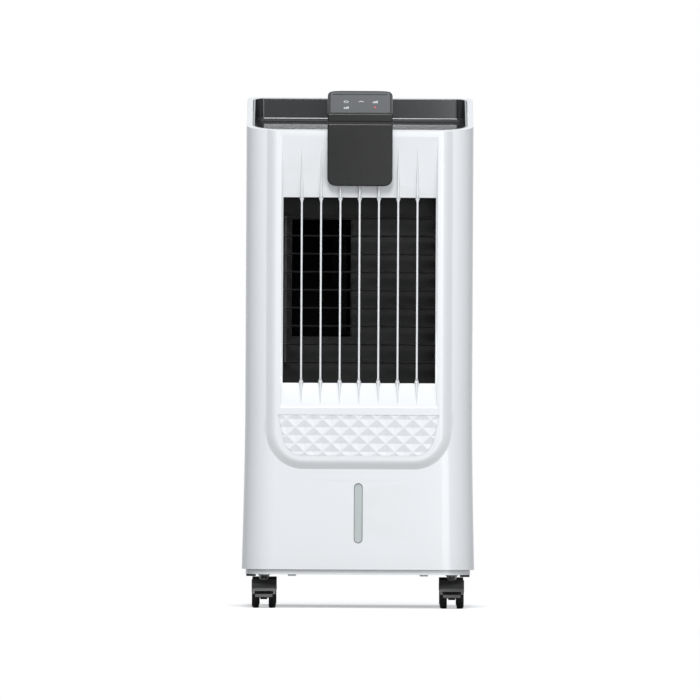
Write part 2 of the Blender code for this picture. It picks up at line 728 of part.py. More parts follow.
def fan_motor(surface):
    """Motor under the housing, with a bore for the wheel's shaft and a fixing flange."""
    top = SCROLL_BOTTOM - GAP
    centre = (WHEEL_X, WHEEL_Y, 0.0)
    radius = MOTOR_RADIUS
    profile = [(radius - 0.004, top - MOTOR_HEIGHT), (radius, top - MOTOR_HEIGHT + 0.004)]
    profile += [(radius, top - 0.006), (radius + 0.010, top - 0.003), (radius + 0.010, top)]
    motor = turned("fan_motor", profile, centre, sides=32)
    return finish(cut(motor, rod("bore", SHAFT_RADIUS + RUNNING, top - 0.034, top + 0.01, centre)), surface)


def swing_motor(surface):
    """Small gear motor under the duct's floor, below the vane link."""
    top = OUTLET_BOTTOM - 0.006 - WALL - GAP
    centre = (vane_positions()[1], VANE_AXIS_Y + 0.023, 0.0)
    profile = [(SWING_MOTOR_RADIUS, top - SWING_MOTOR_HEIGHT), (SWING_MOTOR_RADIUS, top)]
    motor = turned("swing_motor", profile, centre, sides=28)
    ears = prism("ears", stadium(0.0, -0.024, 0.024, 0.004), top - 0.0015, top)
    ears.data.transform(Matrix.Translation(centre) @ Matrix.Rotation(math.pi / 2, 4, "Z"))
    return finish(join(motor, ears), surface)


def pad_size():
    """Half width, bottom and top of the pad's frame."""
    return HALF_WIDTH - PAD_FRAME_MARGIN, PAD_FRAME_BOTTOM, RIM_FRONT - PAD_BELOW_RIM


def grille_size():
    """Half width, bottom and top of the rear grille."""
    return HALF_WIDTH - PAD_FRAME_MARGIN + 0.002, GRILLE_BOTTOM, RIM_FRONT - GRILLE_BELOW_RIM


def pad_frame(surface):
    """Frame round the cooling pad, with the water trough along its top."""
    half, low, high = pad_size()
    wall = PAD_FRAME_WALL
    back = PAD_FRONT_Y + PAD_THICKNESS
    frame = box("pad_frame", (-half, half), (PAD_FRONT_Y, back), (low, high))
    rear = BODY_REAR - WALL - GAP
    foot = box("foot", (-half, half), (back - wall, rear), (low, GRILLE_BOTTOM - 2 * GAP - 0.002))
    brow = box("brow", (-half, half), (back - wall, rear), (high - 0.006, high))
    join(frame, foot, brow)
    latch = (0.0, BODY_REAR, latch_height())
    cut(frame, rod("boss_room", LATCH_BOSS_RADIUS + 2 * GAP, -0.02, 0.01, latch, "Y", 20))
    trough_floor = high - TROUGH_DEPTH
    span = (-half + wall, half - wall)
    inside = box("inside", span, (-FAR, back - wall), (low + wall, trough_floor - wall))
    window = box("window", (-half + 0.008, half - 0.008), (0.0, FAR), (low + 0.016, trough_floor - 0.010))
    trough = box("trough", span, (PAD_FRONT_Y + wall, back - wall), (trough_floor, high + wall))
    return finish(cut(frame, inside, window, trough), surface)


def cooling_pad(surface):
    half, low, high = pad_size()
    wall = PAD_FRAME_WALL
    back = PAD_FRONT_Y + PAD_THICKNESS - wall - GAP
    side = half - wall - GAP
    top = high - TROUGH_DEPTH - wall - GAP
    pad = box("cooling_pad", (-side, side), (PAD_FRONT_Y + GAP, back), (low + wall + GAP, top))
    return finish(pad, surface)


def rear_grille(surface):
    """Removable intake grille with slats and a finger notch."""
    half, low, high = grille_size()
    back, front = BODY_REAR, PAD_FRONT_Y + PAD_THICKNESS + GAP
    border = 0.009
    grille = box("rear_grille", (-half, half), (front, back), (low, high))
    pitch = (high - low - 2 * border) / (GRILLE_SLATS + 1)
    builder = bmesh.new()
    for index in range(GRILLE_SLATS + 1):
        z = low + border + pitch * (index + 0.5)
        size = Matrix.Diagonal((2 * (half - border), 0.06, pitch - 0.0035, 1.0))
        bmesh.ops.create_cube(builder, size=1.0, matrix=Matrix.Translation((0.0, back, z)) @ size)
    cut(grille, add_object("slots", builder))
    ribs = [box("rib", (x - 0.0015, x + 0.0015), (back - 0.005, back - 0.001), (low + 0.004, high - 0.004))
            for x in (-half / 3, half / 3)]
    join(grille, *ribs)
    notch = box("notch", (-0.02, 0.02), (back - 0.003, FAR), (high - 0.006, high + 0.01))
    return finish(cut(grille, notch), surface, (0.0, back, (low + high) / 2))


def tank_outline(inset, back):
    half = HALF_WIDTH - TANK_MARGIN - inset
    front = BODY_FRONT + WALL + 0.0055 + inset
    return rounded((-half, front), (half, back), (FRONT_RADIUS - 0.010 - inset, 0.002), 6)


def water_tank(surface):
    """Open-topped drawer tank whose rear end is its face with a finger grip."""
    low, high = TANK_BOTTOM, TANK_BOTTOM + TANK_HEIGHT
    tank = prism("water_tank", tank_outline(0.0, BODY_REAR), low, high)
    rear_wall = BODY_REAR - GRIP_DEPTH - 2 * TANK_WALL
    basin = prism("basin", tank_outline(TANK_WALL, rear_wall), low + TANK_WALL, high + 0.01)
    middle = (low + high) / 2
    grip_low, grip_high = middle - GRIP_HEIGHT / 2 + 0.01, middle + GRIP_HEIGHT / 2 + 0.01
    half_grip = GRIP_WIDTH / 2
    grip = box("grip", (-half_grip, half_grip), (BODY_REAR - GRIP_DEPTH, FAR), (grip_low, grip_high))
    cut(tank, basin, grip)
    outer = HALF_WIDTH - TANK_MARGIN - TANK_WALL
    for side in (-1, 1):
        span = sorted((side * (half_grip + TANK_WALL), side * outer))
        depth = (rear_wall + TANK_WALL, BODY_REAR - TANK_WALL)
        cut(tank, box("pocket", span, depth, (low + TANK_WALL, high + 0.01)))
    return finish(tank, surface, (0.0, BODY_REAR, middle))


def latch_height():
    """Height of the turn latch, midway between the tank's face and the grille."""
    return (TANK_BOTTOM + TANK_HEIGHT + GRILLE_BOTTOM) / 2


def tank_latch(surface):
    """Turn latch that keeps the tank and the grille in when it stands upright."""
    z = latch_height()
    half = LATCH_WIDTH / 2
    low = BODY_REAR + GAP
    outline = [(b, a + z) for a, b in stadium(0.0, -LATCH_LENGTH / 2, LATCH_LENGTH / 2, half)]
    tab = prism("tank_latch", outline, low, low + 0.003, "Y")
    reach = LATCH_LENGTH / 2 - half
    rib = box("rib", (-reach, reach), (low, low + LATCH_THICKNESS), (z - 0.0012, z + 0.0012))
    pivot = rod("pivot", 0.003, -0.0055, 0.001, (0.0, BODY_REAR, z), "Y", 16)
    return finish(join(tab, rib, pivot), surface, (0.0, BODY_REAR, z))


def hose_place():
    """Centre of the upright hose, between the pad's frame and the casing."""
    half, _, _ = pad_size()
    return half + HOSE_CLEARANCE + HOSE_RADIUS, PAD_FRONT_Y + 0.012


def supply_hose(surface):
    """Hose from above the pump's spout to the trough, with a half turn over the trough's side."""
    x, y = hose_place()
    _, _, high = pad_size()
    bend = 0.0085
    low, top = TANK_BOTTOM + 0.036, high + 0.006
    route = [(x, top), (x, low + 0.5 * (top - low)), (x, low)][::-1]
    route += arc((x - bend, top), bend, 15, 180, 11)
    curve = bpy.data.curves.new("supply_hose", "CURVE")
    curve.dimensions = "3D"
    curve.bevel_depth = HOSE_RADIUS
    curve.bevel_resolution = 2
    curve.use_fill_caps = True
    spline = curve.splines.new("POLY")
    spline.points.add(len(route) - 1)
    for point, (across, z) in zip(spline.points, route):
        point.co = (across, y, z, 1.0)
    curve.materials.append(surface)
    hose = bpy.data.objects.new("supply_hose", curve)
    bpy.context.scene.collection.objects.link(hose)
    return hose


def pump(surface):
    """Submersible pump that stands in the tank under the hose."""
    x, y = hose_place()
    floor = TANK_BOTTOM + TANK_WALL + GAP
    reach = HALF_WIDTH - TANK_MARGIN - TANK_WALL - 0.002
    centre = (reach - PUMP_RADIUS, y - 0.010, 0.0)
    shoulder = floor + 0.02
    profile = [(PUMP_RADIUS, floor), (PUMP_RADIUS, shoulder), (PUMP_RADIUS - 0.003, shoulder + 0.003)]
    body = turned("pump", profile, centre, sides=28)
    foot = prism("foot", rounded((-0.021, -0.018), (0.017, 0.018), (0.003, 0.003), 3), floor, floor + 0.004)
    foot.data.transform(Matrix.Translation((centre[0], centre[1], 0.0)))
    spout = rod("spout", 0.003, floor + 0.01, TANK_BOTTOM + 0.034, (x, y, 0.0), sides=14)
    return finish(join(body, foot, spout), surface)


def caster_places():
    """Name, stem x, stem y and whether it brakes, for the four casters."""
    side = HALF_WIDTH - CASTER_SIDE
    front, rear = BODY_FRONT + CASTER_FRONT, BODY_REAR - CASTER_REAR
    return [
        ("front_left", -side, front, True),
        ("front_right", side, front, True),
        ("rear_left", -side, rear, False),
        ("rear_right", side, rear, False),
    ]


def base_plate(surface):
    """Floor of the cooler with caster sockets, feet bosses and rails that carry the tank."""
    half = HALF_WIDTH + FLARE - BASE_INSET
    low = (-half, BODY_FRONT - FLARE + BASE_INSET)
    high = (half, BODY_REAR - BASE_INSET)
    radii = (FRONT_RADIUS - BASE_INSET, REAR_RADIUS - BASE_INSET)
    plate = prism("base_plate", rounded(low, high, radii, 6), BASE_BOTTOM, BASE_TOP)
    for _, x, y, _ in caster_places():
        socket_z = (BASE_BOTTOM + 0.001, BASE_TOP + SOCKET_HEIGHT)
        join(plate, rod("socket", SOCKET_RADIUS, *socket_z, (x, y, 0.0)))
        join(plate, rod("seat", SEAT_RADIUS, BASE_BOTTOM - SEAT_HEIGHT, BASE_BOTTOM + 0.001, (x, y, 0.0)))
        stem_top = BASE_TOP + SOCKET_HEIGHT - 0.002
        cut(plate, rod("bore", STEM_RADIUS + GAP, BASE_BOTTOM - 0.01, stem_top, (x, y, 0.0)))
    for side in (-1, 1):
        x = side * 0.58 * HALF_WIDTH
        rail = (BODY_FRONT + 0.03, BODY_REAR - 0.02)
        join(plate, box("rail", (x - 0.004, x + 0.004), rail, (BASE_TOP - 0.001, TANK_BOTTOM - GAP)))
        for y in (BODY_FRONT + 0.012, BODY_REAR - 0.02):
            join(plate, rod("boss", 0.005, BASE_BOTTOM - 0.002, BASE_BOTTOM + 0.001, (x, y, 0.0), sides=12))
        block = sorted((side * (half - 0.0005), side * (half - 0.012)))
        join(plate, box("block", block, (-0.02, 0.02), (BASE_BOTTOM - 0.004, BASE_BOTTOM + 0.001)))
    return finish(plate, surface)


def caster_stem(name, x, y, surface):
    """Steel stem with a tapered collar, fixed in the base's socket."""
    low = HOOD_TOP - 0.012
    collar_top = BASE_BOTTOM - SEAT_HEIGHT - GAP
    collar_low = HOOD_TOP + GAP
    profile = [(STEM_RADIUS, low), (STEM_RADIUS, collar_low), (0.0055, collar_low), (COLLAR_RADIUS, collar_top)]
    profile += [(STEM_RADIUS, collar_top), (STEM_RADIUS, BASE_TOP + SOCKET_HEIGHT - 0.003)]
    return finish(turned(f"caster_stem_{name}", profile, (x, y, 0.0), sides=16), surface)


def caster_hood(name, x, y, braked, surface):
    """Fender over both wheels, on a web that holds the axle and turns round the stem."""
    axle_y, axle_z = y - CASTER_TRAIL, CASTER_WHEEL_RADIUS
    inner = CASTER_WHEEL_RADIUS + FENDER_CLEARANCE
    outer = inner + FENDER_THICKNESS
    half = CASTER_GAP / 2 + CASTER_WHEEL_WIDTH + GAP
    start, end = 8, 165
    strip = arc((axle_y, axle_z), outer, start, end, 10) + arc((axle_y, axle_z), inner, end, start, 10)
    hood = prism(f"caster_hood_{name}", strip, x - half, x + half, "X")
    web_half = CASTER_GAP / 2 - 0.0015
    web = arc((axle_y, axle_z), 0.0055, 200, 340, 5) + arc((axle_y, axle_z), inner + 0.001, 35, 145, 5)
    join(hood, prism("web", web, x - web_half, x + web_half, "X"))
    post = rod("post", 0.0056, axle_z + 0.004, axle_z + outer - 0.0006, (x, y, 0.0))
    join(hood, post)
    top = CASTER_WHEEL_RADIUS + outer
    flat = box("flat", (x - 0.02, x + 0.02), (y - 0.03, y + 0.03), (top - 0.0004, top + 0.02))
    seat = rod("seat", STEM_RADIUS + RUNNING, top - 0.0125, top + 0.01, (x, y, 0.0))
    bore = rod("bore", AXLE_RADIUS + GAP, -0.05, 0.05, (x, axle_y, axle_z), "X")
    cut(hood, flat, seat, bore)
    if braked:
        pivot_y, pivot_z = brake_pivot(axle_y, axle_z)
        for side in (-1, 1):
            span = sorted((x + side * 0.0116, x + side * 0.0143))
            lug = [(pivot_y - 0.0024, pivot_z), (pivot_y, pivot_z - 0.0024), (pivot_y + 0.0019, pivot_z)]
            lug += [(pivot_y + 0.0022, pivot_z + 0.0065), (pivot_y + 0.0002, pivot_z + 0.0065)]
            join(hood, prism("lug", lug, span[0], span[1], "X"))
        cut(hood, rod("pivot_hole", PIN_RADIUS + RUNNING, -0.05, 0.05, (x, pivot_y, pivot_z), "X", 8))
    return finish(hood, surface, (x, y, axle_z))


def brake_pivot(axle_y, axle_z):
    return axle_y - CASTER_WHEEL_RADIUS - FENDER_CLEARANCE - 0.002, axle_z + 0.0015


def caster_brake(name, x, y, surface):
    """Foot pedal hinged under the front edge of the hood."""
    pivot_y, pivot_z = brake_pivot(y - CASTER_TRAIL, CASTER_WHEEL_RADIUS)
    section = [(0.0, 0.0019), (-0.0075, 0.0), (-0.009, -0.0035), (-0.007, -0.0045), (0.0, -0.0019)]
    outline = [(pivot_y + a, pivot_z + b) for a, b in section]
    pedal = prism(f"caster_brake_{name}", outline, x - 0.0108, x + 0.0108, "X")
    barrel = rod("barrel", 0.0019, -0.011, 0.011, (x, pivot_y, pivot_z), "X", 16)
    pins = rod("pins", PIN_RADIUS, -0.014, 0.014, (x, pivot_y, pivot_z), "X", 8)
    return finish(join(pedal, barrel, pins), surface, (x, pivot_y, pivot_z))


def caster_wheel(name, side, x, y, surface):
    """One wheel of the pair, round at its outer edge."""
    radius, width = CASTER_WHEEL_RADIUS, CASTER_WHEEL_WIDTH
    bore = AXLE_RADIUS + GAP
    inner = CASTER_GAP / 2
    profile = [(bore, 0.0), (radius - 0.001, 0.0), (radius, 0.001), (radius, width - 0.003)]
    profile += [(radius - 0.003, width), (bore, width)]
    centre = (0.0, 0.0, 0.0)
    wheel = turned(f"caster_wheel_{name}", profile, centre, "X", 20, closed=True)
    if side < 0:
        wheel.data.transform(Matrix.Scale(-1, 4, (1, 0, 0)))
        wheel.data.flip_normals()
    origin = (x + side * inner, y - CASTER_TRAIL, radius)
    wheel.data.transform(Matrix.Translation(origin))
    return finish(wheel, surface, origin)


def caster_axle(name, x, y, surface):
    reach = CASTER_GAP / 2 + CASTER_WHEEL_WIDTH - 0.002
    centre = (x, y - CASTER_TRAIL, CASTER_WHEEL_RADIUS)
    axle = rod(f"caster_axle_{name}", AXLE_RADIUS, -reach, reach, centre, "X")
    return finish(axle, surface, centre)


def casters(steel, black):
    for name, x, y, braked in caster_places():
        caster_stem(name, x, y, steel)
        caster_hood(name, x, y, braked, black)
        caster_axle(name, x, y, steel)
        for side, end in ((-1, "left"), (1, "right")):
            caster_wheel(f"{name}_{end}", side, x, y, black)
        if braked:
            caster_brake(name, x, y, black)


def main():
    for obj in list(bpy.data.objects):
        bpy.data.objects.remove(obj)
    white = material("white_plastic", (0.86, 0.87, 0.88), 0.25)
    dark = material("dark_grey_plastic", (0.045, 0.047, 0.052), 0.22)
    black = material("black_plastic", (0.018, 0.018, 0.019), 0.35)
    glass = material("touch_glass", (0.06, 0.065, 0.075), 0.08)
    clear = material("clear_plastic", (0.55, 0.60, 0.58), 0.15)
    steel = material("steel", (0.55, 0.55, 0.56), 0.3, 1.0)
    paper = material("pad_paper", (0.35, 0.22, 0.10), 0.9)
    rubber = material("hose_rubber", (0.03, 0.03, 0.03), 0.6)
    whole = casing()
    other = copy_piece(whole, "rear_shell", (0.0, 0.0, 0.0))
    other.data = whole.data.copy()
    whole.name = "front_shell"
    front_shell(whole, white)
    rear_shell(other, white)
    top_tray(dark)
    control_head(black)
    touch_overlay(glass)
    pattern_panel(white)
    level_window(clear)
    duct_frame(black)
    for index, x in enumerate(vane_positions()):
        vane(x, white, f"vane_{index + 1}")
    vane_link(black)
    for index, z in enumerate(blade_positions()):
        blade(z, black, f"blade_{index + 1}")
    blade_link(black)
    scroll_housing(black)
    blower_wheel(black)
    fan_motor(steel)
    swing_motor(steel)
    cooling_pad(paper)
    pad_frame(black)
    rear_grille(white)
    water_tank(clear)
    tank_latch(black)
    pump(black)
    supply_hose(rubber)
    base_plate(white)
    casters(steel, black)


main()
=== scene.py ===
import json
import math

import bpy
from mathutils import Matrix, Vector

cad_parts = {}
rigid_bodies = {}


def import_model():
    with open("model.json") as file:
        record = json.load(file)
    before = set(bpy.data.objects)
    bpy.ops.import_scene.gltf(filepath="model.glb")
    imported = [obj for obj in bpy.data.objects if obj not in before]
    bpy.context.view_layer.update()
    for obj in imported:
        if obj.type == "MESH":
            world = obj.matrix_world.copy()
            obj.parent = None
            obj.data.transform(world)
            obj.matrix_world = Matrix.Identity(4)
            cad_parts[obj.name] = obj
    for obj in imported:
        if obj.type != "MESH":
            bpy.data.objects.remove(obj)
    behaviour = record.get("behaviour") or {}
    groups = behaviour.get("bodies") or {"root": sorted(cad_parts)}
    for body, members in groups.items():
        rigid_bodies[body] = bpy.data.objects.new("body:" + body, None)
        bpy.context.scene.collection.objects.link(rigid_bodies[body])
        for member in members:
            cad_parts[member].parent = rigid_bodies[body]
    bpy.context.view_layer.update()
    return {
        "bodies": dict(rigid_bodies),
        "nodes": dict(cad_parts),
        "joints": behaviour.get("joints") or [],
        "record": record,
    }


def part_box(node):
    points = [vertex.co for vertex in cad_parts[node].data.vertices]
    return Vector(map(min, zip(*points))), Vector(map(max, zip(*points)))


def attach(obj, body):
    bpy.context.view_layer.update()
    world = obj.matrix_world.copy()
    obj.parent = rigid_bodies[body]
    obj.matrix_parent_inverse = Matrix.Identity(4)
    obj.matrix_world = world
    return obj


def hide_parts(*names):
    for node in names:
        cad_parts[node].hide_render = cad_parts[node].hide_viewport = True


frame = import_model()


def deselect():
    if bpy.context.object and bpy.context.object.mode != "OBJECT":
        bpy.ops.object.mode_set(mode="OBJECT")
    bpy.ops.object.select_all(action="DESELECT")


def pick(piece):
    deselect()
    piece.select_set(True)
    bpy.context.view_layer.objects.active = piece


def settle(name):  # name the new primitive and put its place into its mesh
    piece = bpy.context.object
    piece.name = piece.data.name = name
    bpy.ops.object.transform_apply(location=True, rotation=True, scale=True)
    return piece


def tidyMesh(piece, distance=0.00001):  # merge doubles and turn the faces outwards
    pick(piece)
    bpy.ops.object.mode_set(mode="EDIT")
    bpy.ops.mesh.select_all(action="SELECT")
    bpy.ops.mesh.remove_doubles(threshold=distance)
    bpy.ops.mesh.normals_make_consistent(inside=False)
    bpy.ops.object.mode_set(mode="OBJECT")
    return piece


def addBlock(name, low, high):
    deselect()
    middle = [(a + b) / 2 for a, b in zip(low, high)]
    bpy.ops.mesh.primitive_cube_add(size=1, location=middle)
    bpy.context.object.scale = [b - a for a, b in zip(low, high)]
    return settle(name)


def addOutline(name, points, run):  # a disc whose rim is moved on to an outline, then pulled out
    deselect()
    bpy.ops.mesh.primitive_circle_add(vertices=len(points), radius=1, fill_type="NGON")
    piece = bpy.context.object
    for vertex, point in zip(piece.data.vertices, points):
        vertex.co = point
    bpy.ops.object.mode_set(mode="EDIT")
    bpy.ops.mesh.select_all(action="SELECT")
    bpy.ops.mesh.extrude_region_move(TRANSFORM_OT_translate={"value": run})
    bpy.ops.object.mode_set(mode="OBJECT")
    return tidyMesh(settle(name))


def addTurned(name, profile, centre, axis="Z", steps=48):  # (radius, height) outline spun round an axis
    turn = {"X": Matrix.Rotation(math.pi / 2, 4, "Y"), "Y": Matrix.Rotation(-math.pi / 2, 4, "X")}
    place = Matrix.Translation(centre) @ turn.get(axis, Matrix.Identity(4))
    deselect()
    bpy.ops.mesh.primitive_circle_add(vertices=len(profile), radius=1, fill_type="NOTHING")
    piece = bpy.context.object
    for vertex, (radius, height) in zip(piece.data.vertices, profile):
        vertex.co = (radius, 0, height)
    bpy.ops.object.mode_set(mode="EDIT")
    bpy.ops.mesh.select_all(action="SELECT")
    bpy.ops.mesh.spin(steps=steps, angle=math.tau, center=(0, 0, 0), axis=(0, 0, 1))
    bpy.ops.object.mode_set(mode="OBJECT")
    piece.data.transform(place)
    return tidyMesh(settle(name))


def addRod(name, radius, low, high, centre, axis="Z", steps=32):
    return addTurned(name, [(0, low), (radius, low), (radius, high), (0, high)], centre, axis, steps)


def useModifier(piece, kind, **settings):
    pick(piece)
    modifier = piece.modifiers.new(kind.title(), kind)
    for key, value in settings.items():
        setattr(modifier, key, value)
    bpy.ops.object.modifier_apply(modifier=modifier.name)
    return piece


def combine(piece, tools, operation):
    for tool in tools:
        useModifier(piece, "BOOLEAN", operation=operation, solver="EXACT", object=tool)
        bpy.data.objects.remove(tool)
    return piece


def carve(piece, *tools):
    return combine(piece, tools, "DIFFERENCE")


def fuse(piece, *tools):
    return combine(piece, tools, "UNION")


def roundOff(piece, width, segments=3, angle=35):
    useModifier(piece, "BEVEL", width=width, segments=segments, limit_method="ANGLE",
                angle_limit=math.radians(angle), use_clamp_overlap=True, miter_outer="MITER_ARC")
    return piece


def bevelEdges(piece, width, segments, wanted):  # bevel the edges whose two ends are both wanted
    pick(piece)
    bpy.ops.object.mode_set(mode="EDIT")
    bpy.ops.mesh.select_mode(type="EDGE")
    bpy.ops.mesh.select_all(action="DESELECT")
    bpy.ops.mesh.edges_select_sharp(sharpness=math.radians(20))
    bpy.ops.object.mode_set(mode="OBJECT")
    mesh = piece.data
    for part in (*mesh.vertices, *mesh.polygons):
        part.select = False
    for edge in mesh.edges:
        ends = [mesh.vertices[index].co for index in edge.vertices]
        edge.select = edge.select and all(wanted(end) for end in ends)
    bpy.ops.object.mode_set(mode="EDIT")
    bpy.ops.mesh.bevel(offset=width, segments=segments, affect="EDGES", clamp_overlap=True)
    bpy.ops.object.mode_set(mode="OBJECT")
    return piece


def smooth(piece, angle=32):  # large flat faces keep their own direction beside small round ones
    pick(piece)
    bpy.ops.object.shade_smooth_by_angle(angle=math.radians(angle))
    return useModifier(piece, "WEIGHTED_NORMAL", keep_sharp=True, weight=80)


def twin(piece, name, matrix=None):  # a copy with its own mesh
    made = piece.copy()
    made.data = piece.data.copy()
    made.name = made.data.name = name
    bpy.context.scene.collection.objects.link(made)
    if matrix is not None:
        made.data.transform(matrix)
    return made


def nodeCopy(node, name, flatten=True):  # a merged copy of a CAD node, ready for finer edges
    made = frame["nodes"][node].copy()
    made.data = made.data.copy()
    made.parent = None
    made.matrix_world = Matrix.Identity(4)
    made.name = made.data.name = name
    bpy.context.scene.collection.objects.link(made)
    tidyMesh(made, 0.00002)
    if made.data.has_custom_normals:
        bpy.ops.mesh.customdata_custom_splitnormals_clear()
    if not flatten:
        return made
    bpy.ops.object.mode_set(mode="EDIT")
    bpy.ops.mesh.select_all(action="SELECT")
    bpy.ops.mesh.dissolve_limited(angle_limit=math.radians(0.5))
    bpy.ops.object.mode_set(mode="OBJECT")
    return made


def softCopy(node, name, width, angle=30):
    piece = roundOff(nodeCopy(node, name), width, 2, angle)
    return useModifier(piece, "TRIANGULATE", quad_method="BEAUTY", ngon_method="BEAUTY", min_vertices=5)


def finishPiece(piece, surface, body, nodes, angle=32):
    piece.data.materials.clear()
    piece.data.materials.append(surface)
    smooth(piece, angle)
    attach(piece, body)
    if nodes:
        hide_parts(*nodes)
    return piece


# materials


def newGroup(name, inputs, output):
    tree = bpy.data.node_groups.new(name, "ShaderNodeTree")
    for label, value in inputs.items():
        socket = tree.interface.new_socket(name=label, in_out="INPUT", socket_type="NodeSocketFloat")
        socket.default_value = value
    tree.interface.new_socket(name=output, in_out="OUTPUT", socket_type="NodeSocketFloat")
    start = tree.nodes.new("NodeGroupInput")
    end = tree.nodes.new("NodeGroupOutput")
    return tree, start, end


def addNode(tree, kind, settings=None, values=None):
    node = tree.nodes.new(kind)
    for key, value in (settings or {}).items():
        setattr(node, key, value)
    for key, value in (values or {}).items():
        node.inputs[key].default_value = value
    return node


def makeGrain():  # fine moulded texture, as a height
    tree, start, end = newGroup("mouldGrain", {"Scale": 900.0, "Depth": 1.0}, "Height")
    place = addNode(tree, "ShaderNodeTexCoord")
    fine = addNode(tree, "ShaderNodeTexNoise", values={"Detail": 3.0, "Roughness": 0.6})
    deep = addNode(tree, "ShaderNodeMath", {"operation": "MULTIPLY"})
    tree.links.new(place.outputs["Object"], fine.inputs["Vector"])
    tree.links.new(start.outputs["Scale"], fine.inputs["Scale"])
    tree.links.new(fine.outputs["Fac"], deep.inputs[0])
    tree.links.new(start.outputs["Depth"], deep.inputs[1])
    tree.links.new(deep.outputs[0], end.inputs["Height"])
    return tree


def makeWear():  # a mask that grows on outer edges, broken up by noise
    tree, start, end = newGroup("edgeWear", {"Amount": 0.5, "Scale": 60.0}, "Mask")
    place = addNode(tree, "ShaderNodeTexCoord")
    shape = addNode(tree, "ShaderNodeNewGeometry")
    edge = addNode(tree, "ShaderNodeMapRange", values={"From Min": 0.52, "From Max": 0.62})
    noise = addNode(tree, "ShaderNodeTexNoise", values={"Detail": 4.0})
    both = addNode(tree, "ShaderNodeMath", {"operation": "MULTIPLY"})
    much = addNode(tree, "ShaderNodeMath", {"operation": "MULTIPLY"})
    tree.links.new(shape.outputs["Pointiness"], edge.inputs["Value"])
    tree.links.new(place.outputs["Object"], noise.inputs["Vector"])
    tree.links.new(start.outputs["Scale"], noise.inputs["Scale"])
    tree.links.new(edge.outputs["Result"], both.inputs[0])
    tree.links.new(noise.outputs["Fac"], both.inputs[1])
    tree.links.new(both.outputs[0], much.inputs[0])
    tree.links.new(start.outputs["Amount"], much.inputs[1])
    tree.links.new(much.outputs[0], end.inputs["Mask"])
    return tree


def makeSmudge():  # slow change of gloss over a surface
    tree, start, end = newGroup("smudge", {"Scale": 9.0, "Low": 0.2, "High": 0.3}, "Roughness")
    place = addNode(tree, "ShaderNodeTexCoord")
    noise = addNode(tree, "ShaderNodeTexNoise", values={"Detail": 5.0, "Roughness": 0.55})
    span = addNode(tree, "ShaderNodeMapRange", values={"From Min": 0.35, "From Max": 0.65})
    tree.links.new(place.outputs["Object"], noise.inputs["Vector"])
    tree.links.new(start.outputs["Scale"], noise.inputs["Scale"])
    tree.links.new(noise.outputs["Fac"], span.inputs["Value"])
    tree.links.new(start.outputs["Low"], span.inputs["To Min"])
    tree.links.new(start.outputs["High"], span.inputs["To Max"])
    tree.links.new(span.outputs["Result"], end.inputs["Roughness"])
    return tree


grainGroup, wearGroup, smudgeGroup = makeGrain(), makeWear(), makeSmudge()


def addGroup(tree, group, values):
    node = tree.nodes.new("ShaderNodeGroup")
    node.node_tree = group
    for key, value in values.items():
        node.inputs[key].default_value = value
    return node


def makePlastic(name, colour, worn, gloss, grain, depth, coat=0.0, bump=0.05, metallic=0.0):
    surface = bpy.data.materials.new(name)
    surface.use_nodes = True
    tree = surface.node_tree
    shader = tree.nodes["Principled BSDF"]
    shader.inputs["Metallic"].default_value = metallic
    shader.inputs["Coat Weight"].default_value = coat
    shader.inputs["Coat Roughness"].default_value = 0.06
    shader.inputs["IOR"].default_value = 1.4
    wear = addGroup(tree, wearGroup, {"Amount": 0.5})
    mix = addNode(tree, "ShaderNodeMix", {"data_type": "RGBA"})
    mix.inputs["A"].default_value = (*colour, 1)
    mix.inputs["B"].default_value = (*worn, 1)
    smudge = addGroup(tree, smudgeGroup, {"Low": gloss[0], "High": gloss[1]})
    texture = addGroup(tree, grainGroup, {"Scale": grain, "Depth": depth})
    relief = addNode(tree, "ShaderNodeBump", values={"Strength": bump, "Distance": 0.0004})
    tree.links.new(wear.outputs["Mask"], mix.inputs["Factor"])
    tree.links.new(mix.outputs["Result"], shader.inputs["Base Color"])
    tree.links.new(smudge.outputs["Roughness"], shader.inputs["Roughness"])
    tree.links.new(texture.outputs["Height"], relief.inputs["Height"])
    tree.links.new(relief.outputs["Normal"], shader.inputs["Normal"])
    return surface


whiteGloss = makePlastic("whiteGloss", colour=(0.80, 0.815, 0.83), worn=(0.70, 0.71, 0.71),
                         gloss=(0.16, 0.24), grain=700, depth=0.5, coat=0.5, bump=0.02)
greyGloss = makePlastic("greyGloss", colour=(0.020, 0.021, 0.023), worn=(0.06, 0.06, 0.06),
                        gloss=(0.10, 0.18), grain=800, depth=0.5, coat=0.4, bump=0.02)
blackSatin = makePlastic("blackSatin", colour=(0.012, 0.012, 0.013), worn=(0.05, 0.05, 0.05),
                         gloss=(0.34, 0.44), grain=1400, depth=1.0, coat=0.0, bump=0.10)
plateSatin = makePlastic("plateSatin", colour=(0.003, 0.003, 0.003), worn=(0.02, 0.02, 0.02),
                         gloss=(0.22, 0.28), grain=1600, depth=0.8, coat=0.0, bump=0.05)
touchFilm = makePlastic("touchFilm", colour=(0.040, 0.045, 0.052), worn=(0.07, 0.07, 0.08),
                        gloss=(0.16, 0.24), grain=500, depth=0.3, coat=0.2, bump=0.01)
ductBlack = makePlastic("ductBlack", colour=(0.004, 0.004, 0.0045), worn=(0.02, 0.02, 0.02),
                        gloss=(0.45, 0.58), grain=900, depth=1.0, coat=0.0, bump=0.10)
bladeBlack = makePlastic("bladeBlack", colour=(0.032, 0.032, 0.034), worn=(0.06, 0.06, 0.06),
                         gloss=(0.30, 0.40), grain=1200, depth=0.8, coat=0.0, bump=0.06)
casterBlack = makePlastic("casterBlack", colour=(0.005, 0.005, 0.005), worn=(0.03, 0.03, 0.03),
                          gloss=(0.30, 0.42), grain=1500, depth=1.0, coat=0.0, bump=0.08)
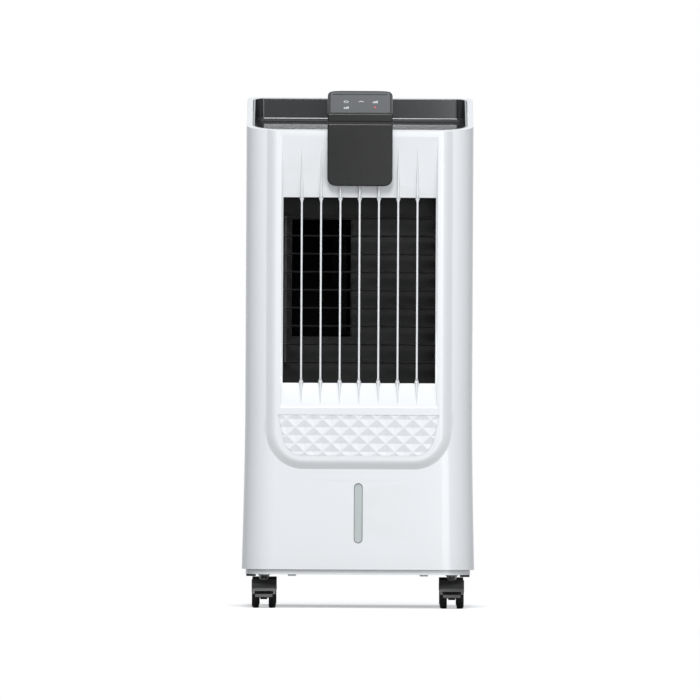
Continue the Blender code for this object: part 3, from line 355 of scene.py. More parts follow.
hoseBlack = makePlastic("hoseBlack", colour=(0.02, 0.02, 0.02), worn=(0.05, 0.05, 0.05),
                        gloss=(0.5, 0.65), grain=1800, depth=1.0, coat=0.0, bump=0.15)
vaneWhite = makePlastic("vaneWhite", colour=(0.82, 0.83, 0.84), worn=(0.75, 0.75, 0.75),
                        gloss=(0.22, 0.30), grain=800, depth=0.5, coat=0.3, bump=0.02)
windowTint = makePlastic("windowTint", colour=(0.50, 0.54, 0.53), worn=(0.6, 0.6, 0.6),
                         gloss=(0.10, 0.18), grain=400, depth=0.3, coat=0.6, bump=0.01)
tankCloud = makePlastic("tankCloud", colour=(0.56, 0.60, 0.60), worn=(0.65, 0.65, 0.65),
                        gloss=(0.28, 0.40), grain=500, depth=0.6, coat=0.1, bump=0.05)
platedSteel = makePlastic("platedSteel", colour=(0.56, 0.56, 0.57), worn=(0.7, 0.7, 0.7),
                          gloss=(0.22, 0.34), grain=1100, depth=1.0, coat=0.0, bump=0.06, metallic=1.0)
print("materials done")


# casing

body = {
    "flare": 0.0035, "flareTop": 0.245, "frontRadius": 0.040, "rearRadius": 0.015, "raise": 0.007,
    "rimFront": 0.595, "rimRise": 0.042, "wall": 0.0025, "rim": 0.0075, "ledge": 0.010,
    "seamGap": 0.0003, "flareSteps": 12, "blankTop": 0.72,
}
shellLow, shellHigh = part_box("front_shell")
tankLow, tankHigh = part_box("water_tank")
outletLow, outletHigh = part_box("duct_frame")
bodyHalf = shellHigh.x - body["flare"]
bodyFront = shellLow.y + body["raise"]
bodyRear = tankHigh.y
rimSlope = body["rimRise"] / (bodyRear - bodyFront)
trayDepth = 0.0285


def rimHeight(y):
    return body["rimFront"] + (y - bodyFront) * rimSlope


def cutAboveRim(piece, offset=0.0):  # trims a piece with the plane of the sloping rim
    pick(piece)
    bpy.ops.object.mode_set(mode="EDIT")
    bpy.ops.mesh.select_all(action="SELECT")
    bpy.ops.mesh.bisect(plane_co=(0, bodyFront, body["rimFront"] + offset), plane_no=(0, -rimSlope, 1),
                        use_fill=True, clear_outer=True)
    bpy.ops.object.mode_set(mode="OBJECT")
    return piece


def roundedPlate(name, low, high, z, frontRadius, rearRadius, segments):
    deselect()
    bpy.ops.mesh.primitive_plane_add(size=1, location=((low[0] + high[0]) / 2, (low[1] + high[1]) / 2, z))
    bpy.context.object.scale = (high[0] - low[0], high[1] - low[1], 1)
    piece = settle(name)
    middle = (low[1] + high[1]) / 2
    for radius, isFront in ((frontRadius, True), (rearRadius, False)):
        bpy.ops.object.mode_set(mode="EDIT")
        bpy.ops.mesh.select_mode(type="VERT")
        bpy.ops.mesh.select_all(action="DESELECT")
        bpy.ops.object.mode_set(mode="OBJECT")
        edge = low[1] if isFront else high[1]
        for vertex in piece.data.vertices:
            vertex.select = abs(vertex.co.y - edge) < 0.0001 and (vertex.co.y < middle) == isFront
        bpy.ops.object.mode_set(mode="EDIT")
        bpy.ops.mesh.bevel(offset=radius, segments=segments, affect="VERTICES")
        bpy.ops.object.mode_set(mode="OBJECT")
    return piece


def flareAt(z):
    drop = max(0.0, body["flareTop"] - z) / (body["flareTop"] - shellLow.z)
    return body["flare"] * drop ** 1.5


def casingSolid(name, inset, bottom, rimOffset):
    spread = flareAt(bottom)
    low = (-bodyHalf - spread + inset, bodyFront - spread + inset)
    high = (bodyHalf + spread - inset, bodyRear - inset)
    piece = roundedPlate(name, low, high, bottom, body["frontRadius"] - inset, body["rearRadius"] - inset, 14)
    steps = body["flareSteps"]
    levels = [bottom + (body["flareTop"] - bottom) * (step + 1) / steps for step in range(steps)]
    levels.append(body["blankTop"])
    bpy.ops.object.mode_set(mode="EDIT")
    bpy.ops.mesh.select_all(action="SELECT")
    before = bottom
    for z in levels:
        bpy.ops.mesh.extrude_region_move(TRANSFORM_OT_translate={"value": (0, 0, z - before)})
        was, now = flareAt(before), flareAt(z)
        wide = (bodyHalf + now - inset) / (bodyHalf + was - inset)
        deep = (bodyRear - bodyFront + now - 2 * inset) / (bodyRear - bodyFront + was - 2 * inset)
        bpy.ops.transform.resize(value=(wide, deep, 1), center_override=(0, bodyRear - inset, z))
        before = z
    bpy.ops.object.mode_set(mode="OBJECT")
    tidyMesh(piece)
    return cutAboveRim(piece, rimOffset)


def traySolid(name, inset, bottomOffset, topOffset, segments=14):
    edge = body["rim"] + inset
    low = (-bodyHalf + edge, bodyFront + edge)
    high = (bodyHalf - edge, bodyRear - edge)
    piece = roundedPlate(name, low, high, 0, 0.036 - inset, 0.014 - inset, segments)
    for vertex in piece.data.vertices:
        vertex.co.z = rimHeight(vertex.co.y) + bottomOffset
    bpy.ops.object.mode_set(mode="EDIT")
    bpy.ops.mesh.select_all(action="SELECT")
    bpy.ops.mesh.extrude_region_move(TRANSFORM_OT_translate={"value": (0, 0, topOffset - bottomOffset)})
    bpy.ops.object.mode_set(mode="OBJECT")
    return tidyMesh(piece)


panel = {
    "half": 0.1025, "bottom": 0.185, "radius": 0.034, "fillet": 0.0155, "steps": 14, "back": 0.0065,
    "outletHalf": 0.095, "outletLow": 0.2805, "outletHigh": 0.5117, "recessDepth": 0.014,
    "recessAbove": 0.0753, "recessBelow": 0.0305, "finAbove": 0.061, "finBelow": 0.0255, "finWidth": 0.0044,
    "windowHalf": 0.0055, "windowLow": 0.081, "windowHigh": 0.156,
}
panelY = shellLow.y
recessY = panelY + panel["recessDepth"]


def arcPoints(centre, radius, start, end, steps):
    angles = [math.radians(start + (end - start) * step / steps) for step in range(steps + 1)]
    return [(centre[0] + radius * math.cos(a), centre[1] + radius * math.sin(a)) for a in angles]


def panelOutline(spread, top, steps=16):
    half, bottom, radius = panel["half"] + spread, panel["bottom"] - spread, panel["radius"] + spread
    return (arcPoints((-half + radius, bottom + radius), radius, 180, 270, steps)
            + arcPoints((half - radius, bottom + radius), radius, 270, 360, steps)
            + [(half, top), (-half, top)])


def cornerDrop(x):  # how far the casing's front falls back at its corner
    beyond = max(0.0, abs(x) - bodyHalf + body["frontRadius"])
    return body["frontRadius"] - math.sqrt(body["frontRadius"] ** 2 - beyond ** 2)


def raisedPanel():
    outline = panelOutline(panel["fillet"], 0.75)
    start, base = bodyFront + panel["back"], bodyFront + 0.0003
    piece = addOutline("raisedPanel", [(x, start, z) for x, z in outline], (0, base - start, 0))
    pick(piece)
    bpy.ops.object.mode_set(mode="EDIT")
    bpy.ops.mesh.select_mode(type="FACE")
    bpy.ops.mesh.select_all(action="DESELECT")
    bpy.ops.object.mode_set(mode="OBJECT")
    for polygon in piece.data.polygons:
        polygon.select = polygon.normal.y < -0.9
    bpy.ops.object.mode_set(mode="EDIT")
    steps = panel["steps"]
    rise = [(base - panelY) * (3 * u * u - 2 * u ** 3) for u in (step / steps for step in range(steps + 1))]
    for step in range(steps):
        bpy.ops.mesh.inset(thickness=panel["fillet"] / steps, depth=rise[step + 1] - rise[step])
    bpy.ops.object.mode_set(mode="OBJECT")
    for vertex in piece.data.vertices:
        if vertex.co.y < base + 0.0001:
            vertex.co.y += cornerDrop(vertex.co.x) * (vertex.co.y - panelY) / (base - panelY)
    return cutAboveRim(piece)


def recessSlope(z):
    if z > panel["outletHigh"]:
        return recessY - panel["recessDepth"] * (z - panel["outletHigh"]) / panel["recessAbove"]
    return recessY - panel["recessDepth"] * (panel["outletLow"] - z) / panel["recessBelow"]


vaneX = [(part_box(f"vane_{index}")[0].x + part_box(f"vane_{index}")[1].x) / 2 for index in range(1, 8)]
vaneAxisY = -0.135


def addFin(x, root, tip):  # a narrow ridge that tapers towards its tip
    points = []
    half = panel["finWidth"] / 2
    for z, wide, front, back in ((root, half, vaneAxisY - 0.0045, recessY + 0.001),
                                 (tip, 0.0006, recessSlope(tip) - 0.0003, recessSlope(tip) + 0.001)):
        crest = wide * 0.35
        points += [(x - wide, back, z), (x + wide, back, z), (x + crest, front, z), (x - crest, front, z)]
    fin = addBlock("fin", (-1, -1, -1), (1, 1, 1))
    for vertex in fin.data.vertices:
        isTip = (vertex.co.z > 0) == (tip > root)
        isBack, isRight = vertex.co.y > 0, vertex.co.x > 0
        corner = (1 if isRight else 0) if isBack else (2 if isRight else 3)
        vertex.co = points[corner + (4 if isTip else 0)]
    return tidyMesh(fin)


def stadiumPoints(low, high, half, steps=12):
    lower = arcPoints((0, low + half), half, 180, 360, steps)
    return lower + arcPoints((0, high - half), half, 0, 180, steps)


def trimPoints(clearance, steps=14):
    top = panel["bottom"] + 0.056 - clearance
    half = panel["half"] - 0.002 - clearance
    lowHalf, bottom, radius = half - 0.006, panel["bottom"] + 0.005 + clearance, 0.026
    return (arcPoints((-lowHalf + radius, bottom + radius), radius, 190, 270, steps)
            + arcPoints((lowHalf - radius, bottom + radius), radius, 270, 350, steps)
            + [(half, top), (-half, top)])


def buildCasing():
    ledgeTop = -trayDepth - body["wall"] - body["seamGap"]
    whole = casingSolid("casing", 0.0, shellLow.z, 0.0)
    fuse(whole, raisedPanel())
    carve(whole, casingSolid("cavity", body["wall"], shellLow.z + body["wall"], ledgeTop - 0.0027))
    carve(whole, casingSolid("throat", body["ledge"], shellLow.z - body["wall"], 0.1))
    return carve(whole, traySolid("seat", 0.0, ledgeTop, 0.1))


def buildFront(whole):
    side = panel["outletHalf"] + 0.002
    wall = body["wall"]
    top, bottom = panel["outletHigh"], panel["outletLow"]
    above, below = top + panel["recessAbove"], bottom - panel["recessBelow"]
    pan = [(panelY + wall, above + wall), (recessY + wall, top + wall), (recessY + wall, bottom - wall),
           (panelY + wall, below - wall)]
    recess = [(-0.2, above), (panelY, above), (recessY, top), (recessY, bottom), (panelY, below),
              (-0.2, below)]
    carve(whole, addBlock("seam", (-0.2, 0.01985, 0), (0.2, 0.3, 1)))
    fuse(whole, addOutline("pan", [(-side - wall, y, z) for y, z in pan], (2 * side + 2 * wall, 0, 0)))
    carve(whole, addOutline("recess", [(-side, y, z) for y, z in recess], (2 * side, 0, 0)))
    half = panel["outletHalf"]
    carve(whole, addBlock("opening", (-half, -0.2, bottom), (half, outletLow.y + 0.0003, top)))
    bevelEdges(whole, 0.0011, 3, lambda point: (abs(point.x) < side + 0.0005 and point.y < panelY + 0.0004
                                                and below - 0.001 < point.z < above + 0.001))
    seatBack = panelY + 0.0023
    carve(whole, addOutline("trimSeat", [(x, -0.2, z) for x, z in trimPoints(0.0)], (0, 0.2 + seatBack, 0)))
    slot = stadiumPoints(panel["windowLow"], panel["windowHigh"], panel["windowHalf"])
    carve(whole, addOutline("windowSlot", [(x, -0.2, z) for x, z in slot], (0, 0.08, 0)))
    bevelEdges(whole, 0.0009, 3, lambda point: (abs(point.x) < 0.007 and point.y < -0.1365
                                                and 0.079 < point.z < 0.158))
    bevelEdges(whole, 0.0012, 3, lambda point: abs(point.z - rimHeight(point.y)) < 0.0003)
    return whole


def buildFins():  # the ridges that carry each vane's line on to the front
    top, bottom = panel["outletHigh"], panel["outletLow"]
    fins = [addFin(x, top - 0.0004, top + panel["finAbove"]) for x in vaneX]
    fins += [addFin(x, bottom + 0.0004, bottom - panel["finBelow"]) for x in vaneX]
    pick(fins[0])
    for fin in fins:
        fin.select_set(True)
    bpy.ops.object.join()
    fins[0].name = fins[0].data.name = "guideFins"
    return fins[0]


casing = buildCasing()
rearHalf = twin(casing, "rearShell")
frontShell = buildFront(casing)
frontShell.name = frontShell.data.name = "frontShell"
finishPiece(frontShell, whiteGloss, "chassis", ["front_shell"], 28)
finishPiece(buildFins(), whiteGloss, "chassis", ["front_shell"], 28)
print("front shell done")


def buildRear(piece):
    carve(piece, addBlock("seam", (-0.2, -0.3, 0), (0.2, 0.02015, 1)))
    grilleLow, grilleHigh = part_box("rear_grille")
    gap = 0.0003
    carve(piece, addBlock("grilleHole", (grilleLow.x - gap, 0.13, grilleLow.z - gap),
                          (grilleHigh.x + gap, 0.3, grilleHigh.z + gap)))
    carve(piece, addBlock("tankHole", (tankLow.x - gap, 0.139, tankLow.z - gap),
                          (tankHigh.x + gap, 0.3, tankHigh.z + gap)))
    latchLow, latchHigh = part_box("tank_latch")
    post = (0, bodyRear, (latchLow.z + latchHigh.z) / 2)
    fuse(piece, addRod("latchBoss", 0.006, -0.008, -0.0001, post, "Y"))
    carve(piece, addRod("latchHole", 0.0033, -0.006, 0.01, post, "Y"))
    gland = (-bodyHalf + 0.022, bodyRear, post[2])
    profile = [(0, -0.001), (0.0075, -0.001), (0.0075, 0.0016), (0.0070, 0.0021), (0.0059, 0.0026),
               (0.0052, 0.0062), (0.0048, 0.0066), (0, 0.0066)]
    fuse(piece, addTurned("gland", profile, gland, "Y"))
    carve(piece, addRod("cordHole", 0.0032, -0.01, 0.01, gland, "Y"))
    bevelEdges(piece, 0.0012, 3, lambda point: abs(point.z - rimHeight(point.y)) < 0.0003)
    return piece


finishPiece(buildRear(rearHalf), whiteGloss, "chassis", ["rear_shell"], 28)
print("rear shell done")


# top tray and control head

tray = {"gap": 0.0003, "wall": 0.0025, "floorRound": 0.005, "rimRound": 0.0008}


def buildTray():
    dish = traySolid("trayDish", tray["gap"], -trayDepth - tray["wall"], 0.0)
    hollow = traySolid("trayHollow", tray["gap"] + tray["wall"], -trayDepth, 0.05)
    bevelEdges(hollow, tray["floorRound"], 5,
               lambda point: abs(point.z - rimHeight(point.y) + trayDepth) < 0.0004)
    carve(dish, hollow)
    bevelEdges(dish, tray["rimRound"], 2, lambda point: abs(point.z - rimHeight(point.y)) < 0.0003)
    return dish


finishPiece(buildTray(), greyGloss, "chassis", ["top_tray"])

head = {
    "length": 0.056, "step": 0.021, "rise": 0.029, "plate": 0.0057, "drop": 0.069, "corner": 0.010,
    "ledge": 0.008, "ledgeRise": 0.0045, "arch": 0.0012, "round": 0.006, "overlay": 0.0012,
    "margin": 0.003, "edge": 0.0014,
}
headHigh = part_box("control_head")[1]
headHalf = headHigh.x
faceTilt = math.atan2(head["rise"], head["length"] - 0.003)
faceLength = math.hypot(head["length"], head["rise"])
headFront = panelY - 0.0003
faceFrame = (Matrix.Translation((0, headFront, body["rimFront"] + head["step"]))
             @ Matrix.Rotation(faceTilt, 4, "X"))


def addFacePlate(name, low, high, z, thick, corner):  # a rounded plate on the head's sloping face
    piece = roundedPlate(name, low, high, z - thick, corner, corner, 6)
    bpy.ops.object.mode_set(mode="EDIT")
    bpy.ops.mesh.select_all(action="SELECT")
    bpy.ops.mesh.extrude_region_move(TRANSFORM_OT_translate={"value": (0, 0, thick)})
    bpy.ops.object.mode_set(mode="OBJECT")
    tidyMesh(piece)
    piece.data.transform(faceFrame)
    return piece


def buildHead():
    stepTop = body["rimFront"] + head["step"]
    back = headFront + head["length"]
    inner = bodyFront + body["rim"] + body["wall"] + 0.0006
    floor = -trayDepth + 0.0003
    side = [(headFront, rimHeight(headFront) + 0.0003), (inner, rimHeight(inner) + 0.0003),
            (inner, rimHeight(inner) + floor), (back, rimHeight(back) + floor),
            (back, stepTop + head["rise"] - 0.002), (back - 0.003, stepTop + head["rise"]),
            (headFront, stepTop)]
    housing = addOutline("headHousing", [(-headHalf, y, z) for y, z in side], (2 * headHalf, 0, 0))
    roundOff(housing, head["edge"], 4, 20)
    bottom, ledge, corner = body["rimFront"] - head["drop"], body["rimFront"] + head["ledge"], head["corner"]
    outline = (arcPoints((-headHalf + corner, bottom + corner), corner, 180, 270, 14)
               + arcPoints((headHalf - corner, bottom + corner), corner, 270, 360, 14)
               + [(headHalf, ledge), (-headHalf, ledge)])
    front = headFront - head["plate"]
    plate = addOutline("plate", [(x, front, z) for x, z in outline], (0, head["plate"] + 0.0001, 0))
    for vertex in plate.data.vertices:  # the plate's top slopes back as a narrow ledge
        if vertex.co.z > ledge - 0.0005 and vertex.co.y > headFront - 0.001:
            vertex.co.z += head["ledgeRise"]
    roundOff(plate, head["edge"], 4, 40)
    web = addBlock("web", (-headHalf + 0.0012, headFront - 0.002, rimHeight(headFront + 0.001) + 0.0003),
                   (headHalf - 0.0012, headFront + 0.0009, ledge - 0.0012))
    fuse(housing, web, plate)
    arch, corner, top = head["arch"], head["round"], stepTop + head["rise"]
    arcs = arcPoints((headHalf - corner, top - arch - corner), corner, 0, 80, 8)
    crown = [(x * headHalf / 10, top - arch * (x / 10) ** 2) for x in range(8, -9, -1)]
    frame = arcs + crown + [(-x, z) for x, z in reversed(arcs)] + [(-headHalf, 0.5), (headHalf, 0.5)]
    combine(housing, [addOutline("arch", [(x, -0.2, z) for x, z in frame], (0, 0.2, 0))], "INTERSECT")
    margin = head["margin"]
    seat = addFacePlate("seat", (-headHalf + margin, 0.0025), (headHalf - margin, faceLength - 0.006), 0.02,
                        0.02 + head["overlay"] + 0.0003, 0.003)
    return carve(housing, seat)


finishPiece(buildHead(), plateSatin, "chassis", ["control_head"])


def buildOverlay():
    margin, gap = head["margin"] + 0.0003, 0.0003
    low, high = (-headHalf + margin, 0.0025 + gap), (headHalf - margin, faceLength - 0.006 - gap)
    return addFacePlate("touchOverlay", low, high,
                        0.0, head["overlay"], 0.003)


overlay = roundOff(buildOverlay(), 0.0004, 2, 40)
finishPiece(overlay, touchFilm, "chassis", ["touch_overlay"])

marks = {"rows": (0.016, 0.031), "columns": (-0.0174, 0.0012, 0.0187), "size": 0.0031, "thick": 0.00012}


def addMark(name, kind, x, y):  # small generic key symbols, proud of the touch film
    size, thick = marks["size"], marks["thick"]
    if kind == "ring":
        profile = [(size * 0.62, 0), (size, 0), (size, thick), (size * 0.62, thick)]
        piece = addTurned(name, profile, (x, y, 0), "Z", 32)
    elif kind == "bars":
        piece = addBlock(name, (x - size, y - size * 0.9, 0), (x - size * 0.45, y + size * 0.1, thick))
        for shift, tall in ((-0.25, 0.5), (0.5, 0.9)):
            fuse(piece, addBlock("bar", (x + size * shift, y - size * 0.9, 0),
                                 (x + size * (shift + 0.55), y + size * tall, thick)))
        fuse(piece, addBlock("foot", (x - size, y - size, 0), (x + size * 1.05, y - size * 0.8, thick)))
    elif kind == "wave":
        points = [(x - size, y - size * 0.5, 0), (x, y + size * 0.2, 0), (x + size, y - size * 0.5, 0),
                  (x + size, y + size * 0.1, 0), (x, y + size * 0.8, 0), (x - size, y + size * 0.1, 0)]
        piece = addOutline(name, points, (0, 0, thick))
    else:
        wide = size * 0.55
        piece = addTurned(name, [(0, 0), (wide, 0), (wide, thick), (0, thick)], (x, y, 0), "Z", 24)
        fuse(piece, addBlock("stem", (x - size * 0.12, y, 0), (x + size * 0.12, y + size * 1.2, thick)))
    piece.data.transform(faceFrame)
    return piece


lightMark = makePlastic("lightMark", colour=(0.62, 0.64, 0.66), worn=(0.6, 0.6, 0.6),
                        gloss=(0.4, 0.5), grain=900, depth=0.3)
redMark = makePlastic("redMark", colour=(0.60, 0.10, 0.09), worn=(0.6, 0.2, 0.2),
                      gloss=(0.4, 0.5), grain=900, depth=0.3)
# near-black paint for a painted shade line: the shadowed groove along the head's rear lip
grooveShadePaint = makePlastic("grooveShadePaint", colour=(0.006, 0.006, 0.006), worn=(0.01, 0.01, 0.01),
                       gloss=(0.5, 0.6), grain=900, depth=0.3)
markPlan = [("ring", 0, 1, lightMark), ("wave", 1, 1, lightMark), ("bars", 2, 1, lightMark),
            ("bars", 0, 0, lightMark), ("drop", 2, 0, redMark)]
for index, (kind, column, row, surface) in enumerate(markPlan):
    mark = addMark(f"keyMark{index + 1}", kind, marks["columns"][column], marks["rows"][row])
    finishPiece(mark, surface, "chassis", [])
# a thin near-black strip on the touch film, painted where the groove along the head's rear lip falls into
# shade
shadeStrip = addFacePlate("grooveShadeStrip", (-0.034, faceLength - 0.0135), (0.034, faceLength - 0.0120), marks["thick"],
                    marks["thick"], 0.0007)
finishPiece(shadeStrip, grooveShadePaint, "chassis", [])
print("tray and head done")


# patterned trim and level window

lattice = {"wide": 0.0225, "tall": 0.0202, "depth": 0.0019, "ridge": 0.0004, "cells": 18, "crest": 0.0003}


def buildTrim():
    deselect()
    cells = lattice["cells"]
    bpy.ops.mesh.primitive_grid_add(x_subdivisions=cells, y_subdivisions=cells, size=cells / math.sqrt(2),
                                    rotation=(0, 0, math.radians(45)))
    piece = settle("trimLattice")
    piece.data.transform(Matrix.Diagonal((lattice["wide"], lattice["tall"], 1, 1)))
    piece.data.transform(Matrix.Rotation(math.pi / 2, 4, "X"))
    trimLow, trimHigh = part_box("pattern_panel")
    crest = trimLow.y + lattice["crest"]
    piece.data.transform(Matrix.Translation((0, crest, (trimLow.z + trimHigh.z) / 2)))
    bpy.ops.object.mode_set(mode="EDIT")
    bpy.ops.mesh.select_all(action="SELECT")
    bpy.ops.mesh.normals_make_consistent(inside=False)
    bpy.ops.object.mode_set(mode="OBJECT")
    if piece.data.polygons[0].normal.y > 0:
        piece.data.flip_normals()
    bpy.ops.object.mode_set(mode="EDIT")
    bpy.ops.mesh.select_mode(type="FACE")
    bpy.ops.mesh.select_all(action="SELECT")
    bpy.ops.mesh.inset(thickness=lattice["ridge"], depth=0, use_individual=True)
    bpy.ops.mesh.poke(offset=-lattice["depth"])
    bpy.ops.mesh.select_all(action="SELECT")
    bpy.ops.mesh.extrude_region_move(TRANSFORM_OT_translate={"value": (0, 0.02, 0)})
    bpy.ops.transform.resize(value=(1, 0, 1), center_override=(0, crest + 0.02, 0))
    bpy.ops.object.mode_set(mode="OBJECT")
    tidyMesh(piece)
    outline = [(x, trimLow.y, z) for x, z in trimPoints(0.0003)]
    bed = addOutline("patternTrim", outline, (0, trimHigh.y - trimLow.y, 0))
    return combine(bed, [piece], "INTERSECT")


finishPiece(buildTrim(), whiteGloss, "chassis", ["pattern_panel"], 4)


def buildWindow():
    low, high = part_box("level_window")
    points = stadiumPoints(low.z, high.z, (high.x - low.x) / 2)
    pane = addOutline("levelWindow", [(x, low.y, z) for x, z in points], (0, high.y - low.y, 0))
    gap = 0.0004
    lens = stadiumPoints(panel["windowLow"] + gap, panel["windowHigh"] - gap, panel["windowHalf"] - gap)
    crown = addOutline("crown", [(x, low.y - 0.0016, z) for x, z in lens], (0, 0.0018, 0))
    roundOff(crown, 0.0012, 4, 40)
    return fuse(pane, crown)


finishPiece(buildWindow(), windowTint, "chassis", ["level_window"])
print("trim and window done")


# louvres

vane = {"axis": -0.135, "front": -0.0077, "back": 0.0094, "half": 0.0012, "crank": 0.017, "pin": 0.001}


def buildVane(x):
    bottom, top = panel["outletLow"], panel["outletHigh"]
    low, high = bottom + 0.0058, top - 0.0058
    half, axis = vane["half"], vane["axis"]
    front, back = axis + vane["front"], axis + vane["back"]
    outline = [(x + half * math.cos(a), front + half - half * math.sin(a), low)
               for a in (math.pi * step / 8 for step in range(9))]
    outline += [(x - half * 0.6, back, low), (x + half * 0.6, back, low)]
    leaf = addOutline("vane", outline, (0, 0, high - low))
    cone = [(0, -0.0048), (0.001, -0.0048), (0.001, 0.0006), (0.0028, 0.0006), (0.0028, 0.0011),
            (0.0015, 0.0048),
            (0.0012, 0.0072), (0, 0.0072)]
    foot = addTurned("foot", cone, (x, axis, bottom), "Z", 28)
    cap = addTurned("cap", [(radius, -height) for radius, height in cone], (x, axis, top), "Z", 28)
    crankY = axis + vane["crank"]
    arm = addBlock("arm", (x - 0.0011, axis + 0.004, low - 0.0012),
                   (x + 0.0011, crankY + 0.0016, low + 0.0016))
    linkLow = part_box("vane_link")[0].z
    pin = addRod("crankPin", vane["pin"], linkLow - 0.001, low, (x, crankY, 0), "Z", 16)
    return fuse(leaf, foot, cap, arm, pin)


firstVane = buildVane(vaneX[0])
for index, x in enumerate(vaneX):
    leaf = twin(firstVane, f"swingVane{index + 1}", Matrix.Translation((x - vaneX[0], 0, 0)))
    finishPiece(leaf, vaneWhite, f"vane_{index + 1}", [f"vane_{index + 1}"])
bpy.data.objects.remove(firstVane)
for index in range(1, 10):
    leaf = softCopy(f"blade_{index}", f"airBlade{index}", 0.0005, 25)
    finishPiece(leaf, bladeBlack, f"blade_{index}", [f"blade_{index}"])
print("louvres done")


# casters

casterSpots = ["front_left", "front_right", "rear_left", "rear_right"]
wheel = {"bore": 0.0028, "tread": 0.0012, "dish": 0.0014, "hub": 0.0055}


def buildWheel(node, name):
    low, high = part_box(node)
    radius, width = (high.z - low.z) / 2, high.x - low.x
    outward = 1 if (low.x + high.x) / 2 > casterMiddle(node) else -1
    tread, dish, hub = wheel["tread"], wheel["dish"], wheel["hub"]
    shoulder = arcPoints((radius - 0.003, width - 0.003), 0.003, 0, 90, 6)
    profile = [(wheel["bore"], 0), (hub, 0), (hub + 0.0008, dish), (radius - 0.0035, dish),
               (radius - 0.0028, 0),
               (radius - tread, 0), (radius, tread)] + shoulder
    profile += [(radius - 0.0048, width), (radius - 0.0054, width - 0.0006), (hub + 0.0012, width - 0.0006),
                (hub + 0.0004, width), (wheel["bore"], width)]
    inner = low.x if outward > 0 else high.x
    piece = addTurned(name, profile, (0, 0, 0), "X", 56)
    piece.data.transform(Matrix.Scale(outward, 4, (1, 0, 0)))
    piece.data.transform(Matrix.Translation((inner, (low.y + high.y) / 2, (low.z + high.z) / 2)))
    return tidyMesh(piece)


def casterMiddle(node):
    spot = node.replace("caster_wheel_", "").rsplit("_", 1)[0]
    low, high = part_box(f"caster_hood_{spot}")
    return (low.x + high.x) / 2


def buildStem(spot):
    low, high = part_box(f"caster_stem_{spot}")
    x, y = (low.x + high.x) / 2, (low.y + high.y) / 2
    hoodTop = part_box(f"caster_hood_{spot}")[1].z
    baseLow = hoodTop + 0.0066
    profile = [(0, low.z), (0.0035, low.z), (0.004, low.z + 0.0006), (0.004, hoodTop + 0.0003),
               (0.0053, hoodTop + 0.0003),
               (0.0056, hoodTop + 0.0008), (0.0068, baseLow - 0.0014), (0.0068, baseLow - 0.0008),
               (0.004, baseLow - 0.0007), (0.004, high.z - 0.001), (0.003, high.z), (0, high.z)]
    return addTurned(f"casterStem_{spot}", profile, (x, y, 0), "Z", 40)


for spot in casterSpots:
    finishPiece(buildStem(spot), platedSteel, "chassis", [f"caster_stem_{spot}"])
    hood = softCopy(f"caster_hood_{spot}", f"casterHood_{spot}", 0.0006)
    finishPiece(hood, casterBlack, f"caster_{spot}", [f"caster_hood_{spot}"])
    axle = softCopy(f"caster_axle_{spot}", f"casterAxle_{spot}", 0.0003, 50)
    finishPiece(axle, platedSteel, f"caster_{spot}", [f"caster_axle_{spot}"])
    for end in ("left", "right"):
        node = f"caster_wheel_{spot}_{end}"
        piece = buildWheel(node, f"casterWheel_{spot}_{end}")
        finishPiece(piece, casterBlack, node, [node])
for spot in casterSpots[:2]:
    pedal = softCopy(f"caster_brake_{spot}", f"casterBrake_{spot}", 0.0005)
    finishPiece(pedal, casterBlack, f"caster_brake_{spot}", [f"caster_brake_{spot}"])
print("casters done")


# other moulded and inner pieces, with finer edges than the frame's

softened = [
    ("base_plate", "basePlate", 0.0006, whiteGloss, "chassis", "white_plastic"),
    ("scroll_housing", "scrollHousing", 0.0005, ductBlack, "chassis", "black_plastic"),
    ("blower_wheel", "blowerWheel", 0.0003, ductBlack, "impeller", "black_plastic"),
    ("fan_motor", "fanMotor", 0.0008, platedSteel, "chassis", "motor_steel"),
    ("swing_motor", "swingMotor", 0.0006, platedSteel, "chassis", "motor_steel"),
    ("water_tank", "waterTank", 0.0008, tankCloud, "tank", "clear_plastic"),
    ("pump", "tankPump", 0.0006, blackSatin, "tank", "black_plastic"),
    ("tank_latch", "tankLatch", 0.0006, blackSatin, "latch", "black_plastic"),
    ("vane_link", "vaneLink", 0.0003, bladeBlack, "vane_link", "black_plastic"),
    ("blade_link", "bladeLink", 0.0003, bladeBlack, "blade_link", "black_plastic"),
]
for node, name, width, surface, rider, slot in softened:
    finishPiece(softCopy(node, name, width), surface, rider, [node])
grille = {"border": 0.009, "rows": 18, "columns": 3, "bar": 0.0034, "edge": 0.0007, "notch": 0.022}
grilleLow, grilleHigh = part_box("rear_grille")


def buildGrille():
    plate = addBlock("rearGrille", grilleLow, grilleHigh)
    border, bar = grille["border"], grille["bar"]
    wide = (grilleHigh.x - grilleLow.x - 2 * border) / grille["columns"]
    tall = (grilleHigh.z - grilleLow.z - 2 * border) / grille["rows"]
    first = None
    for column in range(grille["columns"]):
        for row in range(grille["rows"]):
            x, z = grilleLow.x + border + column * wide, grilleLow.z + border + row * tall
            slot = addBlock("slot", (x + bar / 2, grilleLow.y - 0.01, z + bar / 2),
                            (x + wide - bar / 2, grilleHigh.y + 0.01, z + tall - bar / 2))
            if first is None:
                first = slot
            else:
                slot.select_set(True)
                first.select_set(True)
                bpy.context.view_layer.objects.active = first
                bpy.ops.object.join()
    carve(plate, first)
    half = grille["notch"]
    finger = addRod("finger", 0.010, -half, half, (0, grilleHigh.y + 0.0055, grilleHigh.z - 0.0045), "X", 40)
    carve(plate, finger)
    return roundOff(plate, grille["edge"], 2, 30)


finishPiece(buildGrille(), whiteGloss, "grille", ["rear_grille"])


